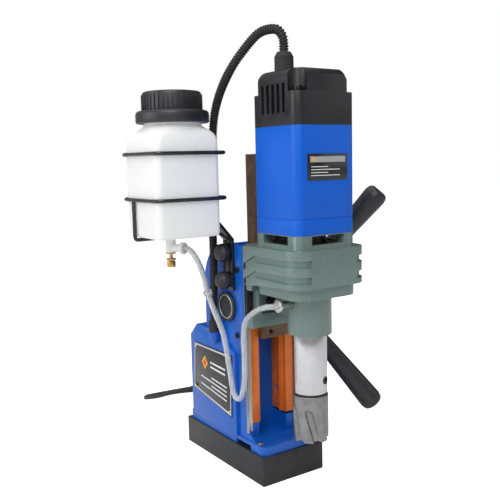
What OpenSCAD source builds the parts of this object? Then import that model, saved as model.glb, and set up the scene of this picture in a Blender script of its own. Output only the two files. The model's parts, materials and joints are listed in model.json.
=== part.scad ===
// Magnetic drill press: electromagnet base, cast column with a rack feed, geared drill head and coolant bottle.
// Origin: centre of the magnet's underside. -Y is the spindle side, +X the feed handles, +Z up. Millimetres.

/* [Magnet base] */
// Width of the electromagnet
magnet_w = 80; // [76:1:100]
// Length of the electromagnet
magnet_l = 160; // [150:1:200]
// Height of the electromagnet
magnet_h = 31; // [26:1:40]
// Thickness of the casting's foot over the magnet
foot_h = 10; // [9:1:14]
// Depth of the tray in the foot
tray_d = 3; // [2:0.5:4]
// Width of the winding grooves in the magnet
groove_w = 11; // [8:1:12]

/* [Column] */
// Width of the upper column
column_w = 72; // [70:1:90]
// Height of the column's top over the work
column_h = 251; // [235:1:290]
// Distance of the guide's front face in front of the magnet's centre
column_front = 45.5; // [44:0.5:50]
// Radius of the column's rounded back
hump_r = 45; // [38:1:50]
// Width of the control box at the column's back
box_w = 80; // [76:1:90]
// Distance of the control box's back behind the magnet's centre
box_back = 66; // [62:1:70]
// Height of the control box's shoulder
shoulder_z = 152; // [148:1:156]
// Wall of the control box
box_wall = 5; // [4:0.5:8]

/* [Guide] */
// Width of the guide channel
channel_w = 58; // [56:1:60]
// Depth of the guide channel
channel_d = 27.5; // [26:0.5:29]
// Width of the slide at its front
slide_w = 35.2; // [32:0.2:36]
// Depth of the slide's vee groove on each side
vee_h = 3.5; // [2:0.5:4]
// Length of the slide
slide_l = 197; // [185:1:210]
// Height of the slide's lower end over the work
slide_z = 150; // [144:1:153]
// Running clearance of the slide in its gibs
slide_gap = 0.08; // [0.03:0.01:0.1]

/* [Feed] */
// Module of the feed rack
rack_module = 2; // [2:0.5:2]
// Teeth of the feed pinion
pinion_teeth = 12; // [12:1:12]
// Height of the pinion's axis over the work
pinion_z = 182.5; // [180:0.5:186]
// Diameter of the pinion shaft
feed_shaft_d = 14; // [12:1:16]
// Length of a feed handle from the shaft's axis
handle_l = 162; // [140:1:175]
// Angle of the handles away from the column
handle_cone = 28; // [24:1:34]
// Angle of the first handle over the forward direction
handle_turn = 58; // [50:1:66]
// Diameter of the grip at its outer end
grip_d = 26; // [22:1:30]
// Diameter of a feed handle's rod
rod_d = 11; // [9:1:12]

/* [Head] */
// Distance of the spindle's axis in front of the magnet's centre
spindle_reach = 110; // [108:1:114]
// Width of the gearbox
gearbox_w = 92; // [90:1:100]
// Width of the motor housing
motor_w = 73; // [70:1:76]
// Height of the motor housing's top over the work
motor_top = 372; // [366:1:380]
// Height of the black end cap
cap_h = 53; // [50:1:64]
// Wall of the motor housing
motor_wall = 4; // [3:0.5:5]
// Diameter of the gearbox collar
collar_d = 45; // [43:1:48]
// Diameter of the tool arbor
arbor_d = 34.6; // [32:0.2:36]
// Diameter of the annular cutter
cutter_d = 36; // [30:1:38]
// Height of the cutter's tip over the work
cutter_z = 55; // [50:1:60]
// Running clearance of shafts in their bearings
shaft_gap = 0.03; // [0.02:0.01:0.08]

/* [Coolant] */
// Width of the coolant bottle
bottle_w = 72; // [66:1:73]
// Wall of the coolant bottle
bottle_wall = 2; // [1.5:0.5:3]
// Height of the bottle's bottom over the work
bottle_z = 265; // [262:1:268]
// Diameter of the cage wire
wire_d = 4; // [3:0.5:4.5]
// Diameter of the coolant hose
hose_d = 6; // [6:0.5:6.5]

/* [Leads] */
// Diameter of the mains lead
lead_d = 6; // [6:0.5:6.5]
// Diameter of the corrugated conduit
conduit_d = 9.6; // [9:0.1:9.8]

/* [Hidden] */
$fn = 64;
eps = 0.01;

foot_z = magnet_h + foot_h;
tray_z = foot_z - tray_d;
foot_inset = 2;
foot_r = 8;
gusset_t = 3;
gusset_y = -magnet_l / 2 + 21;
strap_w = 28;
strap_h = 5.5;
strap_y = -40;

channel_y = -column_front + channel_d;
channel_z = tray_z;
gib_front = -column_front + 1.5;
gib_back = channel_y;
gib_z = foot_z + 18;
gib_top = column_h - 3;
gib_screw_z = [foot_z + 42, gib_top - 18];
gib_screw_y = gib_back - 9;
gib_screw_r = 2.6;
side_screw_at = [[-34, 225], [-31, 153]];
side_screw_r = 3.2;
foot_screw_at = [[magnet_w / 2 - 7, -magnet_l / 2 + 14, foot_z], [magnet_w / 2 - 12, box_back - 14, foot_z + 8]];
foot_screw_d = 5;

slide_front = -column_front - 6.5;
vee_y = -column_front + 9.5;
vee_half = 4.5;
rack_add = 1.3;
rack_ded = 2.2;
pitch_r = rack_module * pinion_teeth / 2;
pinion_y = slide_front + 39;
pitch_y = pinion_y - pitch_r;
slide_back = pitch_y - rack_ded;
slide_top = slide_z + slide_l;
pinion_half = 12;
pocket_r = pitch_r + 4;
bush_wall = 3;
hub_x = 43;

head_back = slide_front;
flange_t = 9;
flange_w = 74;
block_back = head_back - flange_t;
head_z0 = 166;
head_z1 = 206;
head_z2 = 218;
head_z3 = 254.5;
head_z4 = 268;
head_front = spindle_reach + 40;
head_y = -spindle_reach;
head_wall = 4;
head_screw_x = 11;
head_screw_z = [head_z0 + 26, head_z2 + 18];
head_screw_d = 5;
notch_z0 = head_z0 + 12;
groove_low = [head_z2 + 5.4, head_z2 + 21];
groove_h = 6.8;
groove_deep = 2.5;
groove_end = 28;
motor_r = 9;
motor_y = head_y + 6;
cap_round = 10;
pocket_floor = motor_top + 31;
slot_w = 4.6;
slot_pitch = 8.35;
cap_top = motor_top + cap_h;

gear_module = 1;
armature_teeth = 12;
back_teeth = 28;
back_pinion_teeth = 14;
spindle_teeth = 38;
gear_back = 0.12;
gear_reach = gear_module * (spindle_teeth + back_pinion_teeth) / 2;
stage2_z = 213;
stage1_z = 229;
gear_h = 12;
stage1_h = 9;
back_y = head_y + gear_reach;
head_corner = 20;
window_w = 40;
port_z = 198;

arbor_z = 105;
arbor_screw_r = 4.2;
cutter_gap = 2.4;
pilot_z = arbor_z + 26.4;
spindle_d = 20;
gland_at_cap = [-19, -100];
gland_sink = 5;
gland_r = 9.3;
gland_top = cap_top + 18;
shoulder_at = [-44, 4];

bottle_x = -98.5;
bottle_y = -13;
bottle_r = 7;
neck_x = bottle_x + 2.5;
valve_x = bottle_x - 5;
valve_z = 253;
valve_turn = -63;
valve_reach = 17;
shoulder_h = 366;
neck_z = 379;
ring_h = 10;
ring_rim = 3;
cap_z = neck_z + ring_h;
bottle_cap_h = 22;
neck_r = 27;
bottle_top = 405;
strip_x = bottle_x + bottle_w / 2 + 2.5;
strip_t = 3;
strip_y0 = -29;
strip_y1 = -11;
strip_z0 = 202;
strip_z1 = 258;
strip_z2 = 282;
strip_z3 = 353;
knob_y = -20;
knob_z = [213, 243];
hoop_z = [303.5, 349];
weld = 0.8;

gland_at = [23, box_back + 2.5, 57];
coil_at = [89, 168];
coil_r = 35.5;
coil_half = 12.5;
coil_top = 20;

// Route of the mains lead: out of the gland, round in a wide bend and down to the floor, into its coil.
lead_path = [[23, 86, 57], [23, 92, 56.5], [20, 105, 54], [11, 118, 50], [-1, 128, 47], [-8, 132, 45], [-26, 146, 41],
    [-38, 167, 34], [-40, 190, 26], [-34, 212, 17], [-20, 231, 9], [0, 242, 4], [24, 245, 3], [46, 239, 3],
    [66, 229, 3], [87, 218.5, 3], [100, 212, 4]];
// Route of the conduit from the motor's end cap to the column's shoulder.
conduit_path = [[-19, -100, gland_top], [-19, -100, gland_top + 9], [-21, -100, gland_top + 16],
    [-25, -94, gland_top + 22], [-32, -77, gland_top + 20], [-40, -59, gland_top + 4], [-46, -46, 431],
    [-47.5, -30, 413], [-48, -19, 395], [-48, -13, 376], [-48, -9, 340], [-48, -6, 300], [-47, -4, 268],
    [-45.5, -1.5, 247], [-44.5, 1, 213], [-44, 4, 188], [-44, 4, 164]];
// Route of the coolant hose from the valve, down past the column and up to the collar.
valve_arm = [cos(valve_turn), sin(valve_turn), 0];
valve_end = [valve_x, bottle_y, valve_z] + valve_reach * valve_arm;
fitting_x = -40;
hose_path = [valve_end, valve_end + 2 * valve_arm, [-92, -33.5, 251], [-85, -35, 240], [-74, -28, 221],
    [-66, -21, 202], [-58, -21, 180], [-52, -28, 155], [-50, -34, 122], [-49, -39, 97], [-48, -44, 89],
    [-47, -51, 91], [-46.5, -57, 106], [-47, -60, 134], [-48, -61, 160], [-49, -68, 178], [-48, -86, 191],
    [-48.3, -98, 195.5], [-48, head_y + 5, port_z - 0.4], [-46.5, head_y + 1.5, port_z],
    [fitting_x - 3, head_y, port_z], [fitting_x, head_y, port_z]];

// ---------------------------------------------------------------- helpers

// Block between two corners.
module block(a, b) {
    translate(a) cube(b - a);
}

// Block with round upright edges of radius r.
module round_block(a, b, r) {
    s = b - a;
    block([a.x + r, a.y, a.z], [b.x - r, b.y, b.z]);
    block([a.x, a.y + r, a.z], [b.x, b.y - r, b.z]);
    for (x = [a.x + r, b.x - r], y = [a.y + r, b.y - r])
        translate([x, y, a.z]) cylinder(r = r, h = s.z);
}

// Rods along the three axes, from a start point.
module rod_x(p, r, h) {
    translate(p) rotate([0, 90, 0]) cylinder(r = r, h = h);
}
module rod_y(p, r, h) {
    translate(p) rotate([-90, 0, 0]) cylinder(r = r, h = h);
}
module rod_z(p, r, h) {
    translate(p) cylinder(r = r, h = h);
}

// A Y-Z outline extruded along X between two planes.
module side_prism(x0, x1) {
    translate([x0, 0, 0]) rotate([90, 0, 90]) linear_extrude(x1 - x0) children();
}

// Socket-head screw with its head's top at the origin, pointing down.
module socket_screw(d, head_d, head_h, l) {
    difference() {
        union() {
            translate([0, 0, -head_h]) cylinder(d = head_d, h = head_h, $fn = 32);
            translate([0, 0, -head_h - l]) cylinder(d = d, h = l + eps, $fn = 32);
        }
        translate([0, 0, -head_h * 0.6]) cylinder(d = d * 0.9, h = head_h, $fn = 6);
    }
}

// Involute gear outline with a tooth on the +X axis.
function inv(a) = tan(a) * 180 / PI - a;
function half_tooth(n, m, r, gap) =
    let (rp = m * n / 2, rb = rp * cos(20), a = acos(min(1, rb / max(r, rb))))
    90 / n - gap / rp * 90 / PI + inv(20) - inv(a);
module gear_outline(n, m, add, ded, gap) {
    rp = m * n / 2;
    rb = rp * cos(20);
    foot = rp - ded;
    radii = [foot, max(foot + 0.1, rb), (max(rb, foot) + rp + add) / 2, rp + add];
    polygon([for (i = [0:n - 1], k = [0:7])
        let (j = k < 4 ? k : 7 - k, side = k < 4 ? -1 : 1,
            a = i * 360 / n + side * half_tooth(n, m, radii[j], gap))
        radii[j] * [cos(a), sin(a)]]);
}

// Tube swept along a path: rings stand square to the mean direction of their neighbours.
function unit(v) = v / norm(v);
function tangent(p, i) = unit(p[min(i + 1, len(p) - 1)] - p[max(i - 1, 0)]);
function side_of(t, s) = unit(s - t * (s * t));
function frames(p, i, s) = i == len(p) ? [] : let (t = tangent(p, i), u = side_of(t, s)) concat([[u, cross(t, u)]],
    frames(p, i + 1, u));
module tube(path, d, sides) {
    f = frames(path, 0, abs(tangent(path, 0).x) > 0.9 ? [0, 1, 0] : [1, 0, 0]);
    n = len(path);
    pts = [for (i = [0:n - 1], k = [0:sides - 1])
        path[i] + d / 2 * (f[i][0] * cos(k * 360 / sides) + f[i][1] * sin(k * 360 / sides))];
    walls = [for (i = [0:n - 2], k = [0:sides - 1])
        let (a = i * sides + k, b = i * sides + (k + 1) % sides) [a, a + sides, b + sides, b]];
    tris = [for (w = walls) each [[w[0], w[1], w[2]], [w[0], w[2], w[3]]]];
    ends = [[for (k = [0:sides - 1]) k], [for (k = [sides - 1:-1:0]) (n - 1) * sides + k]];
    polyhedron(pts, concat(tris, ends));
}

// ---------------------------------------------------------------- magnet base

// Two winding grooves, each a rectangular ring open at the underside.
module groove_rings(z0, z1, play) {
    for (y = [-1, 1]) translate([0, y * magnet_l / 4, 0]) difference() {
        block([-magnet_w / 2 + 10 + play, -magnet_l / 4 + 9 + play, z0],
            [magnet_w / 2 - 10 - play, magnet_l / 4 - 9 - play, z1]);
        block([-magnet_w / 2 + 10 + groove_w - play, -magnet_l / 4 + 9 + groove_w - play, z0 - 1],
            [magnet_w / 2 - 10 - groove_w + play, magnet_l / 4 - 9 - groove_w + play, z1 + 1]);
    }
}

module magnet_body() {
    color("#1c1c1e") difference() {
        block([-magnet_w / 2, -magnet_l / 2, 0], [magnet_w / 2, magnet_l / 2, magnet_h]);
        groove_rings(-1, magnet_h - 8, 0);
        for (x = [-1, 1], p = foot_screw_at) rod_z([x * p.x, p.y, magnet_h - 7], foot_screw_d / 2, 20);
    }
}

module magnet_coils() {
    color("#b5652b") groove_rings(0.5, magnet_h - 8, 0);
}

// ---------------------------------------------------------------- column

module column_outline() {
    union() {
        translate([-column_front, foot_z - 1]) square([column_front + hump_r - 10, column_h - hump_r - foot_z + 1]);
        translate([-column_front, column_h - hump_r - 1]) square([column_front - 10, hump_r + 1]);
        intersection() {
            translate([-10, column_h - hump_r]) circle(r = hump_r, $fn = 96);
            translate([-11, column_h - hump_r - 1]) square([hump_r + 1, hump_r + 1]);
        }
    }
}

module box_outline() {
    polygon([[-30, foot_z - 1], [box_back, foot_z - 1], [box_back, shoulder_z - 15], [box_back - 15, shoulder_z],
        [8, shoulder_z], [-30, shoulder_z - 19]]);
}

module column_casting() {
    w = column_w / 2;
    color("#1565d8") difference() {
        union() {
            round_block([-magnet_w / 2 + foot_inset, -magnet_l / 2 + foot_inset, magnet_h],
                [magnet_w / 2 - foot_inset, magnet_l / 2 - foot_inset, foot_z], foot_r);
            side_prism(-w, w) column_outline();
            side_prism(-box_w / 2, box_w / 2) box_outline();
            // Boss of the conduit's gland.
            rod_z([shoulder_at.x, shoulder_at.y, shoulder_z - 7], 6.2, 7);
            translate([shoulder_at.x, shoulder_at.y, shoulder_z - 14]) cylinder(r1 = 2, r2 = 6.2, h = 7);
            // Gussets from the guide's feet down to the front of the foot.
            for (x = [-w, w - gusset_t]) side_prism(x, x + gusset_t) polygon([[-column_front + 1, foot_z - 1],
                [-column_front + 1, foot_z + 9], [gusset_y, foot_z], [gusset_y, foot_z - 1]]);
        }
        // Tray in front of the column.
        round_block([-magnet_w / 2 + 7, -magnet_l / 2 + 7, tray_z], [magnet_w / 2 - 7, -column_front - 3, foot_z + 1], 5);
        // Guide channel and the pinion's pocket.
        block([-channel_w / 2, -column_front - 1, channel_z], [channel_w / 2, channel_y, column_h + 1]);
        rod_x([-pinion_half - 3, pinion_y, pinion_z], pocket_r, 2 * pinion_half + 6);
        rod_x([-w - 10, pinion_y, pinion_z], feed_shaft_d / 2 + bush_wall, 2 * w + 20);
        // Control box hollow, open at the back.
        block([-box_w / 2 + box_wall, 8, foot_z + 4], [box_w / 2 - box_wall, box_back + 1, shoulder_z - 20]);
        // Strap slot through the foot.
        block([-magnet_w / 2 - 1, strap_y - strap_w / 2, magnet_h - 1], [magnet_w / 2 + 1, strap_y + strap_w / 2,
            magnet_h + strap_h]);
        // Holes of the foot screws and of the screws that press on the gibs.
        for (x = [-1, 1], p = foot_screw_at) {
            rod_z([x * p.x, p.y, magnet_h - 1], foot_screw_d / 2, 30);
            rod_z([x * p.x, p.y, p.z - 4], 4.25, 4 + eps);
        }
        for (x = [-w - 2, channel_w / 2 - 1], p = side_screw_at)
            rod_x([x, p[0], p[1]], side_screw_r, w - channel_w / 2 + 3);
    }
    // Pads under the gibs.
    color("#1565d8") for (x = [slide_w / 2 + 1, -channel_w / 2 - 1])
        block([x, gib_front + 1, tray_z - 1], [x + channel_w / 2 - slide_w / 2, gib_back + 1, gib_z - 3]);
}

module foot_screws() {
    color("silver") for (x = [-1, 1], p = foot_screw_at)
        translate([x * p.x, p.y, p.z]) socket_screw(foot_screw_d, 8.5, 4, p.z - 4 - magnet_h + 6);
}

// Gib section: a bar whose inner side carries the vee that runs in the slide's groove.
module gib(side, z0) {
    in = slide_w / 2 + slide_gap;
    color("#e07412") mirror([side < 0 ? 1 : 0, 0, 0]) difference() {
        translate([0, 0, z0]) linear_extrude(gib_top - z0) polygon([[in, gib_front], [channel_w / 2, gib_front],
            [channel_w / 2, gib_back], [in, gib_back], [in, vee_y + vee_half], [in - vee_h, vee_y],
            [in, vee_y - vee_half]]);
        for (z = gib_screw_z) rod_x([in - 1, gib_screw_y, z], gib_screw_r, 25);
        // Room for the pinion's bushes.
        rod_x([0, pinion_y, pinion_z], feed_shaft_d / 2 + bush_wall + 0.4, column_w);
    }
}

module gib_left() {
    gib(-1, gib_z - 3);
}

module gib_right() {
    gib(1, gib_z);
}

module gib_screws() {
    deep = slide_w / 2 + slide_gap + 0.2;
    color("silver") for (side = [-1, 1], z = gib_screw_z) translate([side * deep, gib_screw_y, z])
        rotate([0, side * 90, 0]) difference() {
            cylinder(r = gib_screw_r, h = channel_w / 2 - deep);
            translate([0, 0, -1]) cylinder(r = 1.3, h = 3, $fn = 6);
        }
}

module side_set_screws() {
    long = column_w / 2 - channel_w / 2 + 1.5;
    color("#222222") for (side = [-1, 1], p = side_screw_at)
        translate([side * (column_w / 2 + 1.5), p[0], p[1]]) rotate([0, -side * 90, 0]) difference() {
            cylinder(r = side_screw_r, h = long);
            translate([0, 0, -1]) cylinder(r = 1.7, h = 3.5, $fn = 6);
        }
}

// ---------------------------------------------------------------- nameplate

plate_x = -box_w / 2;
module nameplate() {
    color("#161616") side_prism(plate_x - 1, plate_x) polygon([[56, shoulder_z - 22], [-25, shoulder_z - 22],
        [-22, foot_z + 18], [60, foot_z + 33]]);
}

// ---------------------------------------------------------------- feed

module shaft_cover() {
    color("#151515") difference() {
        rod_x([-column_w / 2 - 3, pinion_y, pinion_z], 16.4, 3);
        rod_x([-column_w / 2 - 4, pinion_y, pinion_z], 6, 2);
    }
}

module pinion_shaft() {
    color("silver") {
        rod_x([-column_w / 2 + 1, pinion_y, pinion_z], feed_shaft_d / 2, column_w + 18);
        side_prism(-pinion_half, pinion_half) translate([pinion_y, pinion_z])
            gear_outline(pinion_teeth, rack_module, 1.6, 2.4, gear_back);
    }
}

module pinion_bushes() {
    color("#b08d3c") for (x = [-column_w / 2 + 0.5, pinion_half + 3.5])
        difference() {
            rod_x([x, pinion_y, pinion_z], feed_shaft_d / 2 + bush_wall, column_w / 2 - pinion_half - 4);
            rod_x([x - 1, pinion_y, pinion_z], feed_shaft_d / 2 + shaft_gap, column_w / 2);
        }
}

// Places a feed handle's piece: its own +Z runs out along the handle from the shaft's axis.
module along_handle(k) {
    translate([hub_x, pinion_y, pinion_z]) rotate([180 - handle_turn + k * 120, 0, 0])
        multmatrix([[cos(handle_cone), 0, sin(handle_cone), 0],
            [-sin(handle_cone), 0, cos(handle_cone), 0], [0, -1, 0, 0]]) children();
}

module feed_hub() {
    color("#2a2a2c") difference() {
        union() {
            rod_x([column_w / 2 + 1.5, pinion_y, pinion_z], 17, 14);
            translate([column_w / 2 + 15.5, pinion_y, pinion_z]) rotate([0, 90, 0]) cylinder(r1 = 17, r2 = 11, h = 8);
        }
        rod_x([column_w / 2, pinion_y, pinion_z], feed_shaft_d / 2, 19);
        for (k = [0:2]) along_handle(k) cylinder(d = rod_d, h = 40);
    }
}

module feed_rods() {
    color("silver") for (k = [0:2]) along_handle(k) difference() {
        translate([0, 0, feed_shaft_d / 2 + 4]) cylinder(d = rod_d, h = 70);
        cylinder(d = rod_d + 2, h = 9);
    }
}

module feed_grips() {
    color("#1a1a1c") for (k = [0:2]) along_handle(k) difference() {
        rotate_extrude() polygon([[0, 56], [9, 56], [grip_d / 2, handle_l - 8], [grip_d / 2 - 1.5, handle_l - 2],
            [grip_d / 2 - 5, handle_l], [0, handle_l]]);
        cylinder(d = rod_d, h = 70 + feed_shaft_d / 2 + 4);
    }
}

// ---------------------------------------------------------------- slide

module slide() {
    hw = slide_w / 2;
    p = PI * rack_module;
    flank = tan(20);
    half = p / 4 - gear_back / 2;
    color("#5b4a3a") difference() {
        union() {
            translate([0, 0, slide_z]) linear_extrude(slide_l) polygon([[-hw, slide_front], [hw, slide_front],
                [hw, vee_y - vee_half], [hw - vee_h, vee_y], [hw, vee_y + vee_half], [hw, slide_back],
                [-hw, slide_back], [-hw, vee_y + vee_half], [-hw + vee_h, vee_y], [-hw, vee_y - vee_half]]);
            for (k = [-4:17])
                translate([0, 0, pinion_z + (k + 0.5) * p]) side_prism(-pinion_half + 1, pinion_half - 1)
                    polygon([[slide_back - 0.5, -half - flank * (rack_ded + 0.5)],
                        [pitch_y + rack_add, -half + flank * rack_add], [pitch_y + rack_add, half - flank * rack_add],
                        [slide_back - 0.5, half + flank * (rack_ded + 0.5)]]);
        }
        rod_y([-hw + 11, slide_front - 1, slide_z + 7], 2.2, 12);
        for (x = [-1, 1], z = head_screw_z) rod_y([x * head_screw_x, slide_front - 1, z], head_screw_d / 2, 15);
    }
}

module slide_guards() {
    color("#1b1b1d") for (side = [-1, 1]) mirror([side < 0 ? 1 : 0, 0, 0])
        block([slide_w / 2, slide_front, head_z0 + 13], [column_w / 2 + 0.5, -column_front - 0.8, head_z1 - 1]);
}

module head_screws() {
    color("#333333") for (x = [-1, 1], z = head_screw_z)
        translate([x * head_screw_x, slide_front - flange_t, z]) rotate([90, 0, 0])
            socket_screw(head_screw_d, 8.5, 5, flange_t + 9);
}

// ---------------------------------------------------------------- gearbox

// Space for the gears, open at the top of the housing.
module gear_space(z0, z1) {
    rod_z([0, head_y, z0], 22, z1 - z0);
    rod_z([0, back_y, z0], 17, z1 - z0);
}

// Upper block of the gearbox, its rear corners square.
module head_block(g, inset, z0, z1) {
    round_block([-g + inset, -head_front + inset, z0], [g - inset, -head_front + 60, z1], head_corner - inset);
    block([-g + inset, -head_front + 30, z0], [g - inset, block_back, z1]);
}

// Recessed groove round one of the gearbox's sides, bent down towards the slide.
module side_groove(g, z0) {
    bend = block_back - 19;
    drop = 10;
    difference() {
        side_prism(-g - 1, -groove_end) polygon([[block_back + 1, z0 - drop], [bend, z0], [-head_front - 1, z0],
            [-head_front - 1, z0 + groove_h], [bend, z0 + groove_h], [block_back + 1, z0 + groove_h - drop]]);
        head_block(g, groove_deep, z0 - drop - 1, z0 + groove_h + 1);
    }
}

module gearbox_housing() {
    g = gearbox_w / 2;
    color("#6f8480") difference() {
        union() {
            head_block(g, 0, head_z2, head_z3);
            side_prism(-g, g) polygon([[block_back, head_z2 - 4], [block_back, head_z2 + 1],
                [block_back - 59, head_z2 + 1], [block_back - 59, head_z2]]);
            round_block([-g + 7, -head_front + 6, head_z1], [g - 7, block_back - 4, head_z2 + 1], 18);
            block([-flange_w / 2, block_back - 1, head_z0], [flange_w / 2, head_back, head_z3]);
            rod_z([0, head_y, head_z0], collar_d / 2, head_z1 - head_z0);
            block([-7, head_y + 15, notch_z0 + 1], [7, block_back, head_z1]);
        }
        for (side = [0, 1], z = groove_low) mirror([side, 0, 0]) side_groove(g, z);
        gear_space(head_z1 + 5, head_z3 + 1);
        // Seat of the cover.
        round_block([-g + head_wall, -head_front + head_wall, head_z3 - 8],
            [g - head_wall, block_back - head_wall, head_z3 + 1], 16);
        for (side = [0, 1]) mirror([side, 0, 0]) {
            // Side notch and front recess of the flange.
            block([flange_w / 2 - 8, block_back - 2, notch_z0], [flange_w / 2 + 1, head_back + 1, head_z1]);
            block([8, block_back - 2, notch_z0 + 2], [flange_w / 2 - 12, head_back - 4, head_z1 - 3]);
        }
        // Spindle and bearing seats.
        rod_z([0, head_y, head_z0 - 1], spindle_d / 2 + 2, 60);
        rod_z([0, head_y, head_z0 + 4], 18, 10);
        rod_z([0, head_y, head_z1 - 10], 18, 16);
        rod_z([0, back_y, head_z1 + 1], 9, 6);
        // Screw holes in the flange.
        for (x = [-1, 1], z = head_screw_z) {
            rod_y([x * head_screw_x, block_back - 1, z], head_screw_d / 2, flange_t + 2);
            rod_y([x * head_screw_x, block_back - 8, z], 4.6, 8 + 5);
        }
        // Coolant port.
        rod_x([-collar_d / 2 - 1, head_y, port_z], 2, 12);
    }
}

module gearbox_cover() {
    m = motor_w / 2;
    g = gearbox_w / 2;
    color("#6f8480") difference() {
        union() {
            round_block([-g + head_wall, -head_front + head_wall, head_z3 - 8],
                [g - head_wall, block_back - head_wall, head_z3], 16);
            round_block([-m, motor_y - m, head_z3], [m, motor_y + m, head_z4], motor_r);
        }
        // Air windows round the neck, open to the fan.
        for (a = [0:3]) translate([0, motor_y, 0]) rotate([0, 0, a * 90])
            block([m - 14, -window_w / 2, head_z3 + 4], [m + 1, window_w / 2, head_z4 - 0.8]);
        rod_z([0, motor_y, head_z3 - 9], 10.5, 8);
        rod_z([0, motor_y, head_z3 - 2], 8, 12);
        rod_z([0, motor_y, head_z3 + 3], 31.5, head_z4 - head_z3);
        rod_z([0, back_y, head_z3 - 9], 8.5, 6);
    }
}

module bearing(at_y, z, shaft_r, r, h) {
    difference() {
        rod_z([0, at_y, z], r, h);
        rod_z([0, at_y, z - 1], shaft_r + shaft_gap, h + 2);
    }
}

module head_bearings() {
    color("lightsteelblue") {
        bearing(head_y, head_z0 + 4, spindle_d / 2, 18, 10);
        bearing(head_y, head_z1 - 10, spindle_d / 2, 18, 14);
        bearing(back_y, head_z1 + 1, 5, 9, 4);
        bearing(back_y, head_z3 - 8, 5, 8.5, 5);
        bearing(motor_y, head_z3 - 8, 6, 10.5, 7);
        bearing(motor_y, motor_top + 12, 6, 13, 8);
    }
}

module spindle() {
    color("#c9c9cc") difference() {
        union() {
            rod_z([0, head_y, arbor_z], arbor_d / 2, head_z0 - 0.4 - arbor_z);
            rod_z([0, head_y, head_z0 - 1], spindle_d / 2, stage2_z + gear_h + 1 - head_z0);
        }
        rod_z([0, head_y, arbor_z - 1], 9.5, 31);
        rod_z([0, head_y, arbor_z + 29], 5, 24);
        for (a = [114, 294]) translate([0, head_y, arbor_z + 13]) rotate([0, 90, a])
            cylinder(r = arbor_screw_r, h = 30);
    }
}

module spindle_gear() {
    color("#8d8f93") difference() {
        translate([0, head_y, stage2_z]) rotate(90 + 180 / spindle_teeth) linear_extrude(gear_h)
            gear_outline(spindle_teeth, gear_module, 0.8, 1.2, gear_back);
        rod_z([0, head_y, stage2_z - 1], spindle_d / 2, gear_h + 2);
    }
}

module arbor_set_screws() {
    color("#202020") for (a = [114, 294]) translate([0, head_y, arbor_z + 13]) rotate([0, 90, a])
        translate([0, 0, 9.6]) difference() {
            cylinder(r = arbor_screw_r, h = arbor_d / 2 - 9.4);
            translate([0, 0, arbor_d / 2 - 12]) cylinder(r = 2.6, h = 4, $fn = 6);
        }
}

module annular_cutter() {
    r = cutter_d / 2;
    color("#9a9a9c") difference() {
        union() {
            rod_z([0, head_y, cutter_z], r, arbor_z - cutter_gap - cutter_z);
            rod_z([0, head_y, arbor_z - cutter_gap - 1], 9.5, 27 + cutter_gap);
        }
        rod_z([0, head_y, cutter_z - 1], r - 5, 39);
        rod_z([0, head_y, cutter_z], 3.1, 90);
        for (a = [0:5]) translate([0, head_y, 0]) rotate(a * 60 + 10) {
            block([r - 2.2, -3.5, cutter_z - 1], [r + 1, 3.5, cutter_z + 36]);
            block([r - 7, -3.5, cutter_z - 1], [r + 1, 0, cutter_z + 4]);
        }
    }
}

module pilot_pin() {
    color("silver") {
        rod_z([0, head_y, cutter_z + 1], 3, pilot_z - cutter_z);
        rod_z([0, head_y, pilot_z], 4.6, 4);
    }
}

module pilot_spring() {
    z0 = pilot_z + 4.2;
    turns = 5;
    steps = 10;
    top = arbor_z + 52.8;
    h = top - z0 - 1;
    color("silver") tube([for (i = [0:turns * steps])
        [3.6 * cos(i * 360 / steps), head_y + 3.6 * sin(i * 360 / steps), z0 + 0.5 + h * i / turns / steps]], 0.9, 8);
}

module back_shaft() {
    color("#8d8f93") {
        rod_z([0, back_y, head_z1 + 1.2], 5, head_z3 - 3.2 - head_z1 - 1.2);
        translate([0, back_y, stage2_z - 1]) rotate(270) linear_extrude(gear_h + 2)
            gear_outline(back_pinion_teeth, gear_module, 0.8, 1.2, gear_back);
        translate([0, back_y, stage1_z]) rotate(270) linear_extrude(stage1_h)
            gear_outline(back_teeth, gear_module, 0.75, 1.2, gear_back);
    }
}

// ---------------------------------------------------------------- motor

// Block with top edges rounded to radius c over upright edges of radius r.
module soft_outline(u0, u1, v0, v1, c) {
    translate([u0, v0]) square([u1 - u0, v1 - c - v0]);
    translate([u0 + c, v0]) square([u1 - u0 - 2 * c, v1 - v0]);
    for (u = [u0 + c, u1 - c]) translate([u, v1 - c]) circle(r = c);
}
module soft_block(a, b, r, c) {
    intersection() {
        round_block(a, b, r);
        side_prism(a.x, b.x) soft_outline(a.y, b.y, a.z, b.z, c);
        translate([0, b.y, 0]) rotate([90, 0, 0]) linear_extrude(b.y - a.y) soft_outline(a.x, b.x, a.z, b.z, c);
    }
}

module motor_housing() {
    m = motor_w / 2;
    i = m - motor_wall;
    line_z = head_z4 + 15;
    color("#1565d8") difference() {
        round_block([-m, motor_y - m, head_z4], [m, motor_y + m, motor_top], motor_r);
        round_block([-i, motor_y - i, head_z4 - 1], [i, motor_y + i, motor_top + 1], motor_r - motor_wall);
        // Fine line round the foot of the housing.
        difference() {
            block([-m - 1, motor_y - m - 1, line_z], [m + 1, motor_y + m + 1, line_z + 1]);
            round_block([-m + 0.5, motor_y - m + 0.5, line_z - 1], [m - 0.5, motor_y + m - 0.5, line_z + 2], motor_r - 0.5);
        }
    }
}

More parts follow.
